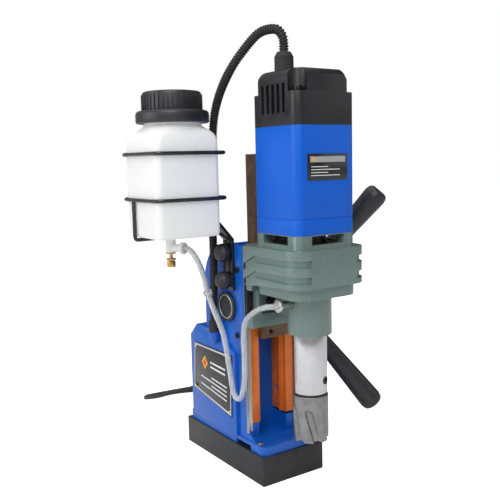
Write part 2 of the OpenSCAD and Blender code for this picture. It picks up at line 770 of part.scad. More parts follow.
module motor_end_cap() {
    m = motor_w / 2;
    i = m - motor_wall + 1;
    color("#1b1b1e") difference() {
        soft_block([-m, motor_y - m, motor_top], [m, motor_y + m, cap_top], motor_r, cap_round);
        difference() {
            round_block([-i, motor_y - i, motor_top - 1], [i, motor_y + i, cap_top - 6], motor_r - 3);
            for (x = [-1, 1], y = [-1, 1])
                rod_z([x * (m - 10), motor_y + y * (m - 10), pocket_floor - 16], 12, cap_h);
            rod_z([0, motor_y, motor_top + 12], 17, cap_h);
        }
        rod_z([0, motor_y, motor_top + 11], 13, 10);
        // Screw pockets at the corners.
        for (x = [-1, 1], y = [-1, 1]) {
            rod_z([x * (m - 6), motor_y + y * (m - 6), pocket_floor], 9, cap_top - pocket_floor + 1);
            rod_z([x * (m - 9), motor_y + y * (m - 9), pocket_floor - 15], 2.5, 20);
        }
        // Air slots in both sides.
        for (side = [0, 1], k = [0:4]) mirror([side, 0, 0])
            block([m - 5, motor_y - 19 + k * slot_pitch, motor_top + 12],
                [m + 1, motor_y - 19 + k * slot_pitch + slot_w, motor_top + 39]);
        rod_z([gland_at_cap.x, gland_at_cap.y, cap_top - gland_sink], gland_r, gland_sink + 1);
    }
}

module end_cap_screws() {
    m = motor_w / 2;
    color("#3a3a3a") for (x = [-1, 1], y = [-1, 1])
        translate([x * (m - 9), motor_y + y * (m - 9), pocket_floor + 5]) socket_screw(5, 8.5, 5, 14);
}

module motor_label() {
    y = motor_y - motor_w / 2;
    color("#121212") block([-24.5, y - 0.6, 320], [24.5, y, 345]);
}

module stator_core() {
    color("#77706a") difference() {
        rod_z([0, motor_y, 292], motor_w / 2 - motor_wall, 46);
        rod_z([0, motor_y, 291], 22, 48);
    }
    color("#b5652b") for (z = [286, 338]) difference() {
        rod_z([0, motor_y, z], motor_w / 2 - motor_wall - 1, 6);
        rod_z([0, motor_y, z - 1], 23, 8);
    }
}

module armature() {
    color("#8f8f94") {
        rod_z([0, motor_y, head_z3 - 8], 6, motor_top + 19 - head_z3 + 8);
        rod_z([0, motor_y, stage1_z - 0.5], 4.6, head_z3 - 7 - stage1_z);
        translate([0, motor_y, stage1_z - 0.5]) rotate(90 + 180 / armature_teeth) linear_extrude(stage1_h + 1)
            gear_outline(armature_teeth, gear_module, 0.8, 1.2, gear_back);
        rod_z([0, motor_y, 292], 21.2, 46);
        rod_z([0, motor_y, 348], 12, 14);
    }
}

module cooling_fan() {
    color("#30343a") difference() {
        union() {
            rod_z([0, motor_y, 268], 9, 12);
            rod_z([0, motor_y, 268], 30, 2);
            for (a = [0:11]) translate([0, motor_y, 268]) rotate(a * 30) block([8, -0.8, 0], [30, 0.8, 11]);
        }
        rod_z([0, motor_y, 267], 6, 14);
    }
}

module brush_gear() {
    color("#a8803a") for (side = [0, 1]) mirror([side, 0, 0])
        block([12.5, motor_y - 5, 349], [motor_w / 2 - motor_wall, motor_y + 5, 361]);
}

// ---------------------------------------------------------------- conduit

module motor_gland() {
    chamfer = 4.5;
    color("#18181a") translate([gland_at_cap.x, gland_at_cap.y, cap_top - gland_sink]) {
        cylinder(r = gland_r, h = gland_top - chamfer - cap_top + gland_sink);
        translate([0, 0, gland_top - chamfer - cap_top + gland_sink]) cylinder(r1 = gland_r, r2 = 6.8, h = chamfer);
    }
}

module shoulder_gland() {
    color("#18181a") rod_z([shoulder_at.x, shoulder_at.y, shoulder_z], 6, 12);
}

module conduit() {
    color("#1a1a1a") tube(conduit_path, conduit_d, 8);
}

// ---------------------------------------------------------------- control box

module rear_cover() {
    w = box_w / 2 - 3;
    color("#2a2b2e") difference() {
        block([-w, box_back, foot_z + 2], [w, box_back + 2.5, shoulder_z - 18]);
        block([-23, box_back - 1, 95], [-5, box_back + 4, 121]);
        rod_y([9, box_back - 1, 108], 6.5, 5);
        rod_y([26, box_back - 1, 108], 7.5, 5);
    }
}

module cover_screws() {
    w = box_w / 2 - 7;
    color("silver") {
        for (x = [-w, w], z = [foot_z + 6, shoulder_z - 22]) rod_y([x, box_back + 2.5, z], 2.5, 1.2);
        for (p = [[52, shoulder_z - 26], [-20.5, shoulder_z - 26], [-18.5, foot_z + 23], [55.5, foot_z + 36]])
            rod_x([plate_x - 2, p[0], p[1]], 2, 1);
    }
}

module control_board() {
    color("#2f6b45") {
        block([-28, 20, foot_z + 12], [28, 22, 124]);
        for (x = [-24, 24], z = [foot_z + 16, 120]) rod_y([x, 8, z], 2.5, 12.5);
        block([-20, 21, 60], [4, 44, 84]);
        rod_y([16, 21, 76], 8, 20);
    }
}

module magnet_switch() {
    color("#c22a20") {
        difference() {
            block([-22.4, box_back + 0.2, 96.5], [-5.6, box_back + 5.5, 119.5]);
            rod_x([-24, box_back + 22, 108], 17.4, 20);
        }
        rod_x([-22.9, box_back + 1.7, 108], 1.4, 17.8);
    }
}

module push_button(x, r) {
    rod_y([x, box_back - 5, 108], r, 12);
}

module start_button() {
    color("#2a9d3a") push_button(9, 6);
}

module stop_button() {
    color("#c5281c") push_button(26, 7);
}

module lead_gland() {
    color("#151515") translate([gland_at.x, gland_at.y, gland_at.z]) rotate([-90, 0, 0]) {
        cylinder(r = 8, h = 3, $fn = 48);
        translate([0, 0, 3]) cylinder(r1 = 6, r2 = 4, h = 14.5);
    }
}

module mains_lead() {
    color("#161616") tube(lead_path, lead_d, 8);
}

module lead_coil() {
    color("#161616") translate([coil_at.x, coil_at.y, 0]) rotate_extrude() translate([coil_r - coil_half, 1])
        square([2 * coil_half, coil_top - 1]);
}

module lead_tie() {
    color("#303030") translate([coil_at.x, coil_at.y, 0]) rotate(-60) difference() {
        block([coil_r - coil_half - 1.5, -4, 0], [coil_r + coil_half + 1.5, 4, coil_top + 1]);
        translate([0, 0, 1]) difference() {
            rod_z([0, 0, 0], coil_r + coil_half, coil_top - 1);
            rod_z([0, 0, -1], coil_r - coil_half, coil_top + 1);
        }
    }
}

module mains_plug() {
    color("#161616") translate([coil_at.x, coil_at.y, coil_top]) rotate(-30) {
        round_block([-10, 5, 0], [28, 31, 20], 5);
        for (y = [8.5, 27.5]) rod_x([27, y, 10], 2.2, 19);
    }
}

// ---------------------------------------------------------------- bottle

module bottle_solid(inset, z0, top) {
    h = bottle_w / 2 - inset;
    intersection() {
        translate([bottle_x, bottle_y, 0]) round_block([-h, -h, z0], [h, h, neck_z - inset], bottle_r - inset);
        union() {
            rod_z([bottle_x, bottle_y, z0 - 1], 60, shoulder_h - z0 + 1);
            translate([bottle_x, bottle_y, shoulder_h]) cylinder(r1 = 50 - inset, r2 = 33 - inset, h = neck_z - shoulder_h);
        }
    }
    rod_z([neck_x, bottle_y, neck_z - inset - 1], neck_r + 2 - inset, top - neck_z + inset + 1);
}

module bottle() {
    color("#f2f2ee") difference() {
        bottle_solid(0, bottle_z, bottle_top - 4);
        bottle_solid(bottle_wall, bottle_z + bottle_wall, bottle_top);
        rod_z([valve_x, bottle_y, bottle_z - 1], 3, 5);
    }
}

module bottle_ring() {
    color("#141414") difference() {
        rod_z([neck_x, bottle_y, neck_z + 0.3], 37.2, ring_h + ring_rim);
        rod_z([neck_x, bottle_y, neck_z - 1], neck_r + 2.4, ring_h + ring_rim + 3);
        rod_z([neck_x, bottle_y, cap_z], 31.8, ring_rim + 1);
    }
}

module bottle_cap() {
    color("#141414") difference() {
        rod_z([neck_x, bottle_y, cap_z + 0.3], 31, bottle_cap_h - 0.3);
        rod_z([neck_x, bottle_y, cap_z - 1], neck_r + 2.4, bottle_top - cap_z + 1);
    }
}

// Square hoop of wire round the bottle.
module hoop(z) {
    r = wire_d / 2;
    c = 10;
    x0 = bottle_x - bottle_w / 2 - r - 0.4;
    x1 = strip_x + strip_t + r - weld;
    y0 = bottle_y - bottle_w / 2 - r - 0.4;
    y1 = bottle_y + bottle_w / 2 + r + 0.4;
    for (y = [y0, y1]) rod_x([x0 + c, y, z], r, x1 - x0 - 2 * c);
    for (x = [x0, x1]) rod_y([x, y0 + c, z], r, y1 - y0 - 2 * c);
    for (q = [[x1 - c, y1 - c, 0], [x0 + c, y1 - c, 90], [x0 + c, y0 + c, 180], [x1 - c, y0 + c, 270]])
        translate([q[0], q[1], z]) rotate(q[2]) rotate_extrude(angle = 90) translate([c, 0]) circle(r = r);
}

// Wire from the lower hoop, down, under the bottle and up again.
module cradle() {
    r = wire_d / 2;
    c = 3;
    x0 = bottle_x - bottle_w / 2 - r - 0.4;
    x1 = strip_x + strip_t + r - weld;
    zb = bottle_z - r - 0.4;
    rod_x([x0 + c, 0, zb], r, x1 - x0 - 2 * c);
    for (x = [x0, x1]) rod_z([x, 0, zb + c], r, hoop_z[0] - zb - c);
    translate([x0 + c, 0, zb + c]) rotate([90, 180, 0]) rotate_extrude(angle = 90) translate([c, 0]) circle(r = r);
    translate([x1 - c, 0, zb + c]) rotate([90, 90, 0]) rotate_extrude(angle = 90) translate([c, 0]) circle(r = r);
}

module bottle_bracket() {
    x = -column_w / 2;
    color("#121212") difference() {
        union() {
            translate([0, strip_y1, 0]) rotate([90, 0, 0]) linear_extrude(strip_y1 - strip_y0)
                polygon([[x, strip_z0], [x, strip_z1], [strip_x + strip_t, strip_z2], [strip_x + strip_t, strip_z3],
                    [strip_x, strip_z3], [strip_x, strip_z2 - 2], [x - strip_t, strip_z1 - 2], [x - strip_t, strip_z0]]);
            block([x - strip_t - 2.6, strip_y0 - 1, knob_z[0] - 6], [x - strip_t, strip_y0 + 3.4, knob_z[0] + 6]);
            for (z = hoop_z) hoop(z);
            cradle();
        }
        for (z = knob_z) rod_x([x - 5, knob_y, z], 3.2, 6);
    }
}

module knob(z) {
    x = -column_w / 2 - strip_t;
    color("#151515") {
        rod_x([x - 3.5, knob_y, z], 5, 3.2);
        rod_x([x - 4, knob_y, z], 3, 3.9);
        translate([x - 14, knob_y, z]) rotate([0, 90, 0]) cylinder(r1 = 7.5, r2 = 10, h = 4);
        rod_x([x - 10, knob_y, z], 10, 7);
    }
}

module knob_upper() {
    knob(knob_z[1]);
}

module knob_lower() {
    knob(knob_z[0]);
}

module coolant_valve() {
    color("#efefec") {
        rod_z([valve_x, bottle_y, valve_z - 4.5], 5.2, bottle_z - valve_z + 4.5);
        rod_z([valve_x, bottle_y, bottle_z - 1], 3, 6);
        translate([valve_x, bottle_y, valve_z]) rotate(valve_turn) {
            rod_x([0, 0, 0], 4.2, valve_reach - 3);
            rod_x([valve_reach - 3.5, 0, 0], 6.2, 3.5);
        }
    }
}

module valve_screw() {
    top = valve_z - 4.8;
    color("#b8903c") translate([valve_x, bottle_y, 0]) {
        rod_z([0, 0, top - 15], 1.8, 15);
        rod_z([0, 0, top - 15], 4.3, 6);
        rod_z([0, 0, top - 7.8], 5, 1.5);
        rod_z([0, 0, top - 1.2], 5, 1.2);
    }
}

module collar_fitting() {
    color("#d8d8d4") {
        rod_x([fitting_x, head_y, port_z], 4, -collar_d / 2 - 0.5 - fitting_x);
        rod_x([-collar_d / 2 - 1.5, head_y, port_z], 2, 3);
        rod_x([fitting_x, head_y, port_z], 6.4, 3);
    }
}

module coolant_hose() {
    color("#dfe6ea") tube(hose_path, hose_d, 8);
}

magnet_body();
magnet_coils();
column_casting();
foot_screws();
gib_left();
gib_right();
gib_screws();
side_set_screws();
nameplate();
shaft_cover();
pinion_shaft();
pinion_bushes();
feed_hub();
feed_rods();
feed_grips();
slide();
slide_guards();
head_screws();
gearbox_housing();
gearbox_cover();
head_bearings();
spindle();
spindle_gear();
arbor_set_screws();
annular_cutter();
pilot_pin();
pilot_spring();
back_shaft();
motor_housing();
motor_end_cap();
end_cap_screws();
motor_label();
stator_core();
armature();
cooling_fan();
brush_gear();
motor_gland();
shoulder_gland();
conduit();
rear_cover();
cover_screws();
control_board();
magnet_switch();
start_button();
stop_button();
lead_gland();
mains_lead();
lead_coil();
lead_tie();
mains_plug();
bottle_bracket();
knob_upper();
knob_lower();
bottle();
bottle_ring();
bottle_cap();
coolant_valve();
valve_screw();
collar_fitting();
coolant_hose();
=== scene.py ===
"""Finishes, leads and fine detail of a magnetic drill press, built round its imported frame."""

import json
import logging
import math
from collections.abc import Callable, Iterable, Sequence
from dataclasses import dataclass, field
from enum import Enum

import bmesh
import bpy
from mathutils import Matrix, Vector

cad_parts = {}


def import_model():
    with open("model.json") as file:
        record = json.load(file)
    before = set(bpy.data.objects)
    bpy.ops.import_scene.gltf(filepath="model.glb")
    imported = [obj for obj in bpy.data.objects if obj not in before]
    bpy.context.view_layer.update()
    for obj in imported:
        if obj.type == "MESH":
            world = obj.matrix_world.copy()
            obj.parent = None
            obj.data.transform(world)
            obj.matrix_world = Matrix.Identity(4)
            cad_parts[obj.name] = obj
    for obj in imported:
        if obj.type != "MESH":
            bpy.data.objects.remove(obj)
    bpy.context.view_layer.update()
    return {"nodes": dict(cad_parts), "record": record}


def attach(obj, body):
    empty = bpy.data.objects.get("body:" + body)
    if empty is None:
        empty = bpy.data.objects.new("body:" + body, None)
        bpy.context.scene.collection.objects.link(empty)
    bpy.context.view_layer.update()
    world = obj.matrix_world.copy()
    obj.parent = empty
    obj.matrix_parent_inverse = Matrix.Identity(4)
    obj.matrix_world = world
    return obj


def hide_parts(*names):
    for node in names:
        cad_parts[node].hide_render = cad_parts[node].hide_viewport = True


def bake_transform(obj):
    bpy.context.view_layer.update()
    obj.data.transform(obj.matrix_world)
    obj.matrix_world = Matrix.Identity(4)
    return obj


LOG = logging.getLogger("drill_press")
MM = 0.001
RIB_WIRE = 0.78
CLOUD = 22
COAT_ROUGHNESS = 0.08
WHITE_LIGHT = (1.0, 1.0, 1.0, 1.0)
Point = tuple[float, float, float]
Pair = tuple[float, float]
Colour = tuple[float, float, float]
BMesh = bmesh.types.BMesh
BMVert = bmesh.types.BMVert
Object = bpy.types.Object
Material = bpy.types.Material
Node = bpy.types.Node
NodeTree = bpy.types.NodeTree
Socket = bpy.types.NodeSocket


class Axis(Enum):
    """Direction of a turned piece's axis."""

    X = "x"
    Y = "y"
    Z = "z"


# ---------------------------------------------------------------- meshes


def vec(p: Sequence[float]) -> Vector:
    """Returns a point given in millimetres as a vector in metres."""
    return Vector(p) * MM


def new_object(name: str, bm: BMesh, angle: float = 35.0, fix: bool = True) -> Object:
    """Turns a bmesh into a linked object with smooth faces and sharp creases.

    Args:
        name: Name of the new object.
        bm: The mesh, in metres, which is freed.
        angle: Angle in degrees over which an edge stays sharp.
        fix: Whether normals are made to point outwards.

    Returns:
        The new object, at the origin.
    """
    if fix:
        bmesh.ops.remove_doubles(bm, verts=bm.verts, dist=1e-6)
        bmesh.ops.recalc_face_normals(bm, faces=bm.faces)
    mesh = bpy.data.meshes.new(name)
    bm.to_mesh(mesh)
    bm.free()
    mesh.shade_smooth()
    mesh.set_sharp_from_angle(angle=math.radians(angle))
    obj = bpy.data.objects.new(name, mesh)
    bpy.context.scene.collection.objects.link(obj)
    return obj


def settle(obj: Object, angle: float = 35.0) -> Object:
    """Turns an object's modifiers into plain mesh.

    Args:
        obj: The object with live modifiers.
        angle: Angle in degrees over which an edge stays sharp.

    Returns:
        The same object with a plain mesh.
    """
    graph = bpy.context.evaluated_depsgraph_get()
    mesh = bpy.data.meshes.new_from_object(obj.evaluated_get(graph), depsgraph=graph)
    obj.modifiers.clear()
    obj.data = mesh
    mesh.shade_smooth()
    mesh.set_sharp_from_angle(angle=math.radians(angle))
    return obj


def bevel(obj: Object, width: float, segments: int = 3, limit: float = 35.0) -> Object:
    """Rounds an object's creases.

    Args:
        obj: The object.
        width: Width of the rounding in millimetres.
        segments: Faces across each rounding.
        limit: Angle in degrees over which an edge is rounded.

    Returns:
        The same object with a plain mesh.
    """
    mod = obj.modifiers.new("round", "BEVEL")
    mod.width = width * MM
    mod.segments = segments
    mod.limit_method = "ANGLE"
    mod.angle_limit = math.radians(limit)
    mod.miter_outer = "MITER_ARC"
    return settle(obj)


def refined(node: str, width: float = 0.0, segments: int = 2) -> Object:
    """Copies a CAD node with merged vertices, flat faces joined and creases rounded.

    Args:
        node: Name of the CAD node.
        width: Width of the rounding in millimetres, or 0 for none.
        segments: Faces across each rounding.

    Returns:
        The copy.
    """
    bm = bmesh.new()
    bm.from_mesh(bpy.data.objects[node].data)
    bmesh.ops.remove_doubles(bm, verts=bm.verts, dist=2e-6)
    bmesh.ops.dissolve_limit(bm, angle_limit=math.radians(0.6), verts=bm.verts, edges=bm.edges)
    obj = new_object(f"{node}_shape", bm, 30.0, fix=False)
    return bevel(obj, width, segments) if width else obj


def turned(bm: BMesh, profile: Sequence[Pair], centre: Point, axis: Axis = Axis.Z,
           steps: int = 64, flute: Callable[[float, float], float] | None = None) -> None:
    """Adds a turned piece whose profile is closed by its axis or by itself.

    Args:
        bm: Mesh to add to.
        profile: Pairs of radius and distance along the axis, in millimetres.
        centre: Point on the axis, in millimetres.
        axis: Direction of the axis.
        steps: Faces round the axis.
        flute: Gives the change of radius at an angle and a distance, or None.
    """
    rings = []
    for radius, along in profile:
        ring = []
        for k in range(steps if radius > 1e-6 else 1):
            a = 2 * math.pi * k / steps
            r = radius + (flute(a, along) if flute else 0.0)
            u, v = r * math.cos(a), r * math.sin(a)
            offset = {Axis.X: (along, u, v), Axis.Y: (v, along, u), Axis.Z: (u, v, along)}[axis]
            ring.append(bm.verts.new(vec([c + o for c, o in zip(centre, offset)])))
        rings.append(ring)
    for low, high in zip(rings, rings[1:]):
        for k in range(steps):
            n = (k + 1) % steps
            corners = [low[k % len(low)], low[n % len(low)], high[n % len(high)], high[k % len(high)]]
            unique = list(dict.fromkeys(corners))
            if len(unique) > 2:
                bm.faces.new(unique)


def box(bm: BMesh, low: Point, high: Point) -> None:
    """Adds a block between two corners given in millimetres."""
    made = bmesh.ops.create_cube(bm, size=1.0)["verts"]
    size = Vector(high) - Vector(low)
    mid = (Vector(high) + Vector(low)) / 2
    for v in made:
        v.co = vec([mid[i] + v.co[i] * size[i] for i in range(3)])


def smooth_path(points: Sequence[Point], step: float) -> list[Vector]:
    """Runs a smooth curve through a route's points.

    Args:
        points: The route's points in millimetres.
        step: Greatest distance between the points returned, in millimetres.

    Returns:
        Points along the curve, in metres.
    """
    p = [Vector(q) for q in points]
    out: list[Vector] = []
    for i in range(len(p) - 1):
        a, b, c, d = p[max(i - 1, 0)], p[i], p[i + 1], p[min(i + 2, len(p) - 1)]
        n = max(1, math.ceil((c - b).length / step))
        for s in range(n):
            t = s / n
            out.append((2 * b + (c - a) * t + (2 * a - 5 * b + 4 * c - d) * t * t
                        + (3 * b - a - 3 * c + d) * t ** 3) * 0.5 * MM)
    out.append(p[-1] * MM)
    return out


def swept(bm: BMesh, path: Sequence[Vector], radius: Callable[[float], float], sides: int = 16,
          inner: float = 0.0) -> None:
    """Sweeps a round section along a path.

    Args:
        bm: Mesh to add to.
        path: Points in metres.
        radius: Gives the radius in metres at a distance along the path in metres.
        sides: Faces round the section.
        inner: Radius of the bore in metres, or 0 for a solid section.
    """
    layers = [radius] + ([lambda _s: inner] if inner else [])
    ends: list[list[list[BMVert]]] = []
    for layer in layers:
        side = Vector((1, 0, 0))
        if abs((path[1] - path[0]).normalized().x) > 0.9:
            side = Vector((0, 1, 0))
        rings, far = [], 0.0
        for i, p in enumerate(path):
            t = (path[min(i + 1, len(path) - 1)] - path[max(i - 1, 0)]).normalized()
            side = (side - t * side.dot(t)).normalized()
            up = t.cross(side)
            far += (p - path[i - 1]).length if i else 0.0
            r = layer(far)
            angles = [2 * math.pi * k / sides for k in range(sides)]
            rings.append([bm.verts.new(p + r * (side * math.cos(a) + up * math.sin(a))) for a in angles])
        for low, high in zip(rings, rings[1:]):
            for k in range(sides):
                bm.faces.new([low[k], low[(k + 1) % sides], high[(k + 1) % sides], high[k]])
        ends.append([rings[0], rings[-1]])
    for end in (0, 1):
        if inner:
            outer, bore = ends[0][end], ends[1][end]
            for k in range(sides):
                bm.faces.new([outer[k], outer[(k + 1) % sides], bore[(k + 1) % sides], bore[k]])
        else:
            bm.faces.new(ends[0][end])


# ---------------------------------------------------------------- finishes


@dataclass
class Shader:
    """A material's node tree while it is being built."""

    material: Material

    @classmethod
    def start(cls, name: str) -> "Shader":
        """Returns a shader on a new material."""
        material = bpy.data.materials.new(name)
        material.use_nodes = True
        return cls(material)

    @property
    def surface(self) -> Node:
        """The principled shader."""
        return self.material.node_tree.nodes["Principled BSDF"]

    def node(self, kind: str, **values: object) -> Node:
        """Adds a node and sets its properties or inputs.

        Args:
            kind: The node's type name.
            **values: Property names, or input names with spaces as underscores.

        Returns:
            The node.
        """
        made = self.material.node_tree.nodes.new(kind)
        for key, value in values.items():
            if hasattr(made, key):
                setattr(made, key, value)
            else:
                made.inputs[key.replace("_", " ")].default_value = value
        return made

    def set(self, **values: object) -> None:
        """Sets inputs of the principled shader, named with spaces as underscores."""
        for key, value in values.items():
            self.surface.inputs[key.replace("_", " ")].default_value = value

    def skin(self) -> Socket:
        """Returns the normal that the principled shader has so far."""
        return self.surface.inputs["Normal"].links[0].from_socket

    def link(self, source: Socket, target: Socket) -> None:
        """Links two sockets."""
        self.material.node_tree.links.new(source, target)

    def place(self, scale: Sequence[float] = (1, 1, 1)) -> Socket:
        """Returns object coordinates, stretched by a scale."""
        coords = self.node("ShaderNodeTexCoord")
        mapping = self.node("ShaderNodeMapping", Scale=scale)
        self.link(coords.outputs["Object"], mapping.inputs["Vector"])
        return mapping.outputs["Vector"]

    def noise(self, size: float, detail: float = 4.0, stretch: Sequence[float] = (1, 1, 1)) -> Socket:
        """Returns noise whose features are about a size in millimetres across."""
        made = self.node("ShaderNodeTexNoise", Scale=1000.0 / size, Detail=detail)
        self.link(self.place(stretch), made.inputs["Vector"])
        return made.outputs["Fac"]

    def ramp(self, source: Socket, stops: Sequence[tuple[float, Sequence[float]]]) -> Socket:
        """Returns a colour ramp over a value.

        Args:
            source: The value.
            stops: Pairs of position and colour.

        Returns:
            The ramp's colour socket.
        """
        made = self.node("ShaderNodeValToRGB")
        band = made.color_ramp.elements
        while len(band) < len(stops):
            band.new(0.5)
        for element, (position, colour) in zip(band, stops):
            element.position = position
            element.color = (*colour[:3], 1.0)
        self.link(source, made.inputs["Fac"])
        return made.outputs["Color"]

    def grey(self, source: Socket, low: float, high: float, start: float = 0.3,
             stop: float = 0.7) -> Socket:
        """Returns a value run from low to high as the source goes from start to stop."""
        made = self.node("ShaderNodeMapRange", From_Min=start, From_Max=stop, To_Min=low, To_Max=high)
        self.link(source, made.inputs["Value"])
        return made.outputs["Result"]

    def bump(self, source: Socket, depth: float, strength: float = 1.0,
             below: Socket | None = None) -> Socket:
        """Returns a bumped normal.

        Args:
            source: Height from 0 to 1.
            depth: Height of the bump in millimetres.
            strength: Share of the bump that shows.
            below: A normal to bump further, or None.

        Returns:
            The normal socket.
        """
        made = self.node("ShaderNodeBump", Distance=depth * MM, Strength=strength)
        self.link(source, made.inputs["Height"])
        if below:
            self.link(below, made.inputs["Normal"])
        return made.outputs["Normal"]

    def mix(self, factor: Socket, a: Socket, b: Socket) -> Socket:
        """Returns a mix of two colours by a factor."""
        made = self.node("ShaderNodeMix", data_type="RGBA")
        self.link(factor, made.inputs[0])
        self.link(a, made.inputs[6])
        self.link(b, made.inputs[7])
        return made.outputs[2]


@dataclass(frozen=True)
class Finish:
    """A finish with a colour that wanders a little and a fine grain."""

    name: str
    colour: Colour
    roughness: float = 0.45
    metallic: float = 0.0
    grain: float = 0.8
    depth: float = 0.02
    wander: float = 0.08
    coat: float = 0.0
    specular: float = 0.5
    stretch: Point = (1.0, 1.0, 1.0)

    def shades(self) -> tuple[Colour, Colour]:
        """Returns the darkest and the lightest shade of the colour."""
        return (tuple(c * (1 - self.wander) for c in self.colour),
                tuple(min(1.0, c * (1 + self.wander) + 0.004) for c in self.colour))

    def build(self) -> Material:
        """Builds the material once and returns it."""
        known = bpy.data.materials.get(self.name)
        if known:
            return known
        shader = Shader.start(self.name)
        surface = shader.surface
        low, high = self.shades()
        cloud = shader.noise(self.grain * CLOUD, 3.0)
        shader.link(shader.ramp(cloud, [(0.3, low), (0.7, high)]), surface.inputs["Base Color"])
        shader.set(Metallic=self.metallic, Coat_Weight=self.coat, Coat_Roughness=COAT_ROUGHNESS,
                   Specular_IOR_Level=self.specular)
        fine = shader.noise(self.grain, 5.0, self.stretch)
        shader.link(shader.grey(cloud, self.roughness * 0.88, min(1.0, self.roughness * 1.14)),
                    surface.inputs["Roughness"])
        shader.link(shader.bump(fine, self.depth), surface.inputs["Normal"])
        self.extra(shader)
        return shader.material

    def extra(self, shader: Shader) -> None:
        """Adds what a special finish has; a plain one has nothing more."""


@dataclass(frozen=True)
class CastPaint(Finish):
    """Gloss paint on a casting, with its guide faces machined bare."""

    front: float = -45.2
    low: float = 48.0
    peel_size: float = 5.0
    peel_depth: float = 0.12
    peel_share: float = 0.6

    def extra(self, shader: Shader) -> None:
        """Adds bare metal on the guide faces and an orange-peel skin."""
        surface = shader.surface
        coords = shader.node("ShaderNodeTexCoord")
        split = shader.node("ShaderNodeSeparateXYZ")
        shader.link(coords.outputs["Object"], split.inputs["Vector"])
        tests = []
        for socket, operation, limit in ((split.outputs["Y"], "LESS_THAN", self.front),
                                         (split.outputs["Z"], "GREATER_THAN", self.low)):
            test = shader.node("ShaderNodeMath", operation=operation)
            shader.link(socket, test.inputs[0])
            test.inputs[1].default_value = limit * MM
            tests.append(test.outputs[0])
        both = shader.node("ShaderNodeMath", operation="MULTIPLY")
        shader.link(tests[0], both.inputs[0])
        shader.link(tests[1], both.inputs[1])
        bare = both.outputs[0]
        scratch = shader.noise(0.5, 3.0, (1.0, 1.0, 0.04))
        metal = shader.ramp(scratch, [(0.3, (0.5, 0.5, 0.5)), (0.7, (0.75, 0.75, 0.76))])
        paint = surface.inputs["Base Color"].links[0].from_socket
        shader.link(shader.mix(bare, paint, metal), surface.inputs["Base Color"])
        shader.link(bare, surface.inputs["Metallic"])
        peel = shader.noise(self.peel_size, 2.0)
        shader.link(shader.bump(peel, self.peel_depth, self.peel_share, shader.skin()),
                    surface.inputs["Normal"])


@dataclass(frozen=True)
class Hammered(Finish):
    """Hammer paint: soft cells with dark rims over a metallic flake."""

    cell: float = 1.15
    rims: Pair = (0.15, 0.65)
    dent: float = 0.09
    dent_share: float = 0.5

    def extra(self, shader: Shader) -> None:
        """Adds the cells."""
        surface = shader.surface
        cells = shader.node("ShaderNodeTexVoronoi", feature="SMOOTH_F1", Scale=1000.0 / self.cell,
                            Smoothness=0.7)
        warp = shader.noise(self.cell * 2, 2.0)
        place = shader.place()
        shift = shader.node("ShaderNodeVectorMath", operation="SCALE")
        lift = shader.node("ShaderNodeVectorMath", operation="ADD")
        shader.link(warp, shift.inputs[0])
        shift.inputs["Scale"].default_value = self.cell * MM * 0.8
        shader.link(place, lift.inputs[0])
        shader.link(shift.outputs[0], lift.inputs[1])
        shader.link(lift.outputs[0], cells.inputs["Vector"])
        low, high = self.shades()
        tint = shader.ramp(cells.outputs["Distance"], list(zip(self.rims, (high, low))))
        shader.link(tint, surface.inputs["Base Color"])
        shader.link(shader.bump(cells.outputs["Distance"], self.dent, self.dent_share, shader.skin()),
                    surface.inputs["Normal"])


@dataclass(frozen=True)
class Clear(Finish):
    """Clear or milky plastic."""

    see_through: float = 0.9
    milk: float = 0.0
    ior: float = 1.4
    milk_depth: float = 0.02
    painted_glow: float = 0.09

    def extra(self, shader: Shader) -> None:
        """Adds transmission and, for milky plastic, subsurface light and a faint painted glow that brightens
        it.
        """
        shader.set(Transmission_Weight=self.see_through, IOR=self.ior)
        # Milky plastic also gets a faint emission, a painted glow that makes it lighter than the lamps alone
        # would.
        if self.milk:
            shader.set(Subsurface_Weight=self.milk, Subsurface_Radius=WHITE_LIGHT[:3],
                       Subsurface_Scale=self.milk_depth, Emission_Color=WHITE_LIGHT,
                       Emission_Strength=self.painted_glow)


BLUE = (0.001, 0.1, 0.5)
MAGNET_BLACK = Finish("magnet_black", (0.018, 0.018, 0.02), 0.42, 0.0, 0.5, 0.03, 0.2)
CASTING = CastPaint("casting_blue", BLUE, 0.32, 0.0, 3.0, 0.01, 0.05, 0.2, 0.4)
MOTOR_BLUE = Finish("motor_blue", (0.0005, 0.105, 0.6), 0.4, 0.0, 2.5, 0.004, 0.03, 0.0, 0.3)
HAMMER = Hammered("hammer_grey_green", (0.155, 0.225, 0.21), 0.38, 0.25, 1.2, 0.004, 0.11, 0.4)
ORANGE = Finish("gib_orange", (0.8, 0.17, 0.005), 0.34, 0.15, 0.5, 0.01, 0.1, 0.3, stretch=(1, 1, 0.08))
BRIGHT = Finish("bright_zinc", (0.72, 0.72, 0.73), 0.24, 1.0, 0.3, 0.004, 0.08)
GROUND = Finish("ground_steel", (0.66, 0.66, 0.67), 0.13, 1.0, 0.25, 0.003, 0.05, stretch=(0.1, 0.1, 3.0))
TOOL = Finish("tool_steel", (0.3, 0.3, 0.3), 0.4, 1.0, 0.4, 0.01, 0.16, stretch=(1, 1, 0.2))
BROWN = Finish("slide_brown", (0.155, 0.095, 0.058), 0.4, 0.55, 0.5, 0.012, 0.2, stretch=(1, 1, 0.06))
OXIDE = Finish("black_oxide", (0.022, 0.022, 0.024), 0.38, 0.6, 0.4, 0.008, 0.2)
PLASTIC = Finish("black_plastic", (0.016, 0.016, 0.018), 0.42, 0.0, 0.28, 0.02, 0.15)
CAP = Finish("cap_black", (0.012, 0.012, 0.014), 0.4, 0.0, 1.0, 0.008, 0.12)
GRIP = Finish("grip_black", (0.02, 0.02, 0.024), 0.4, 0.0, 0.35, 0.02, 0.15)
RUBBER = Finish("lead_black", (0.014, 0.014, 0.015), 0.55, 0.0, 0.4, 0.02, 0.15)
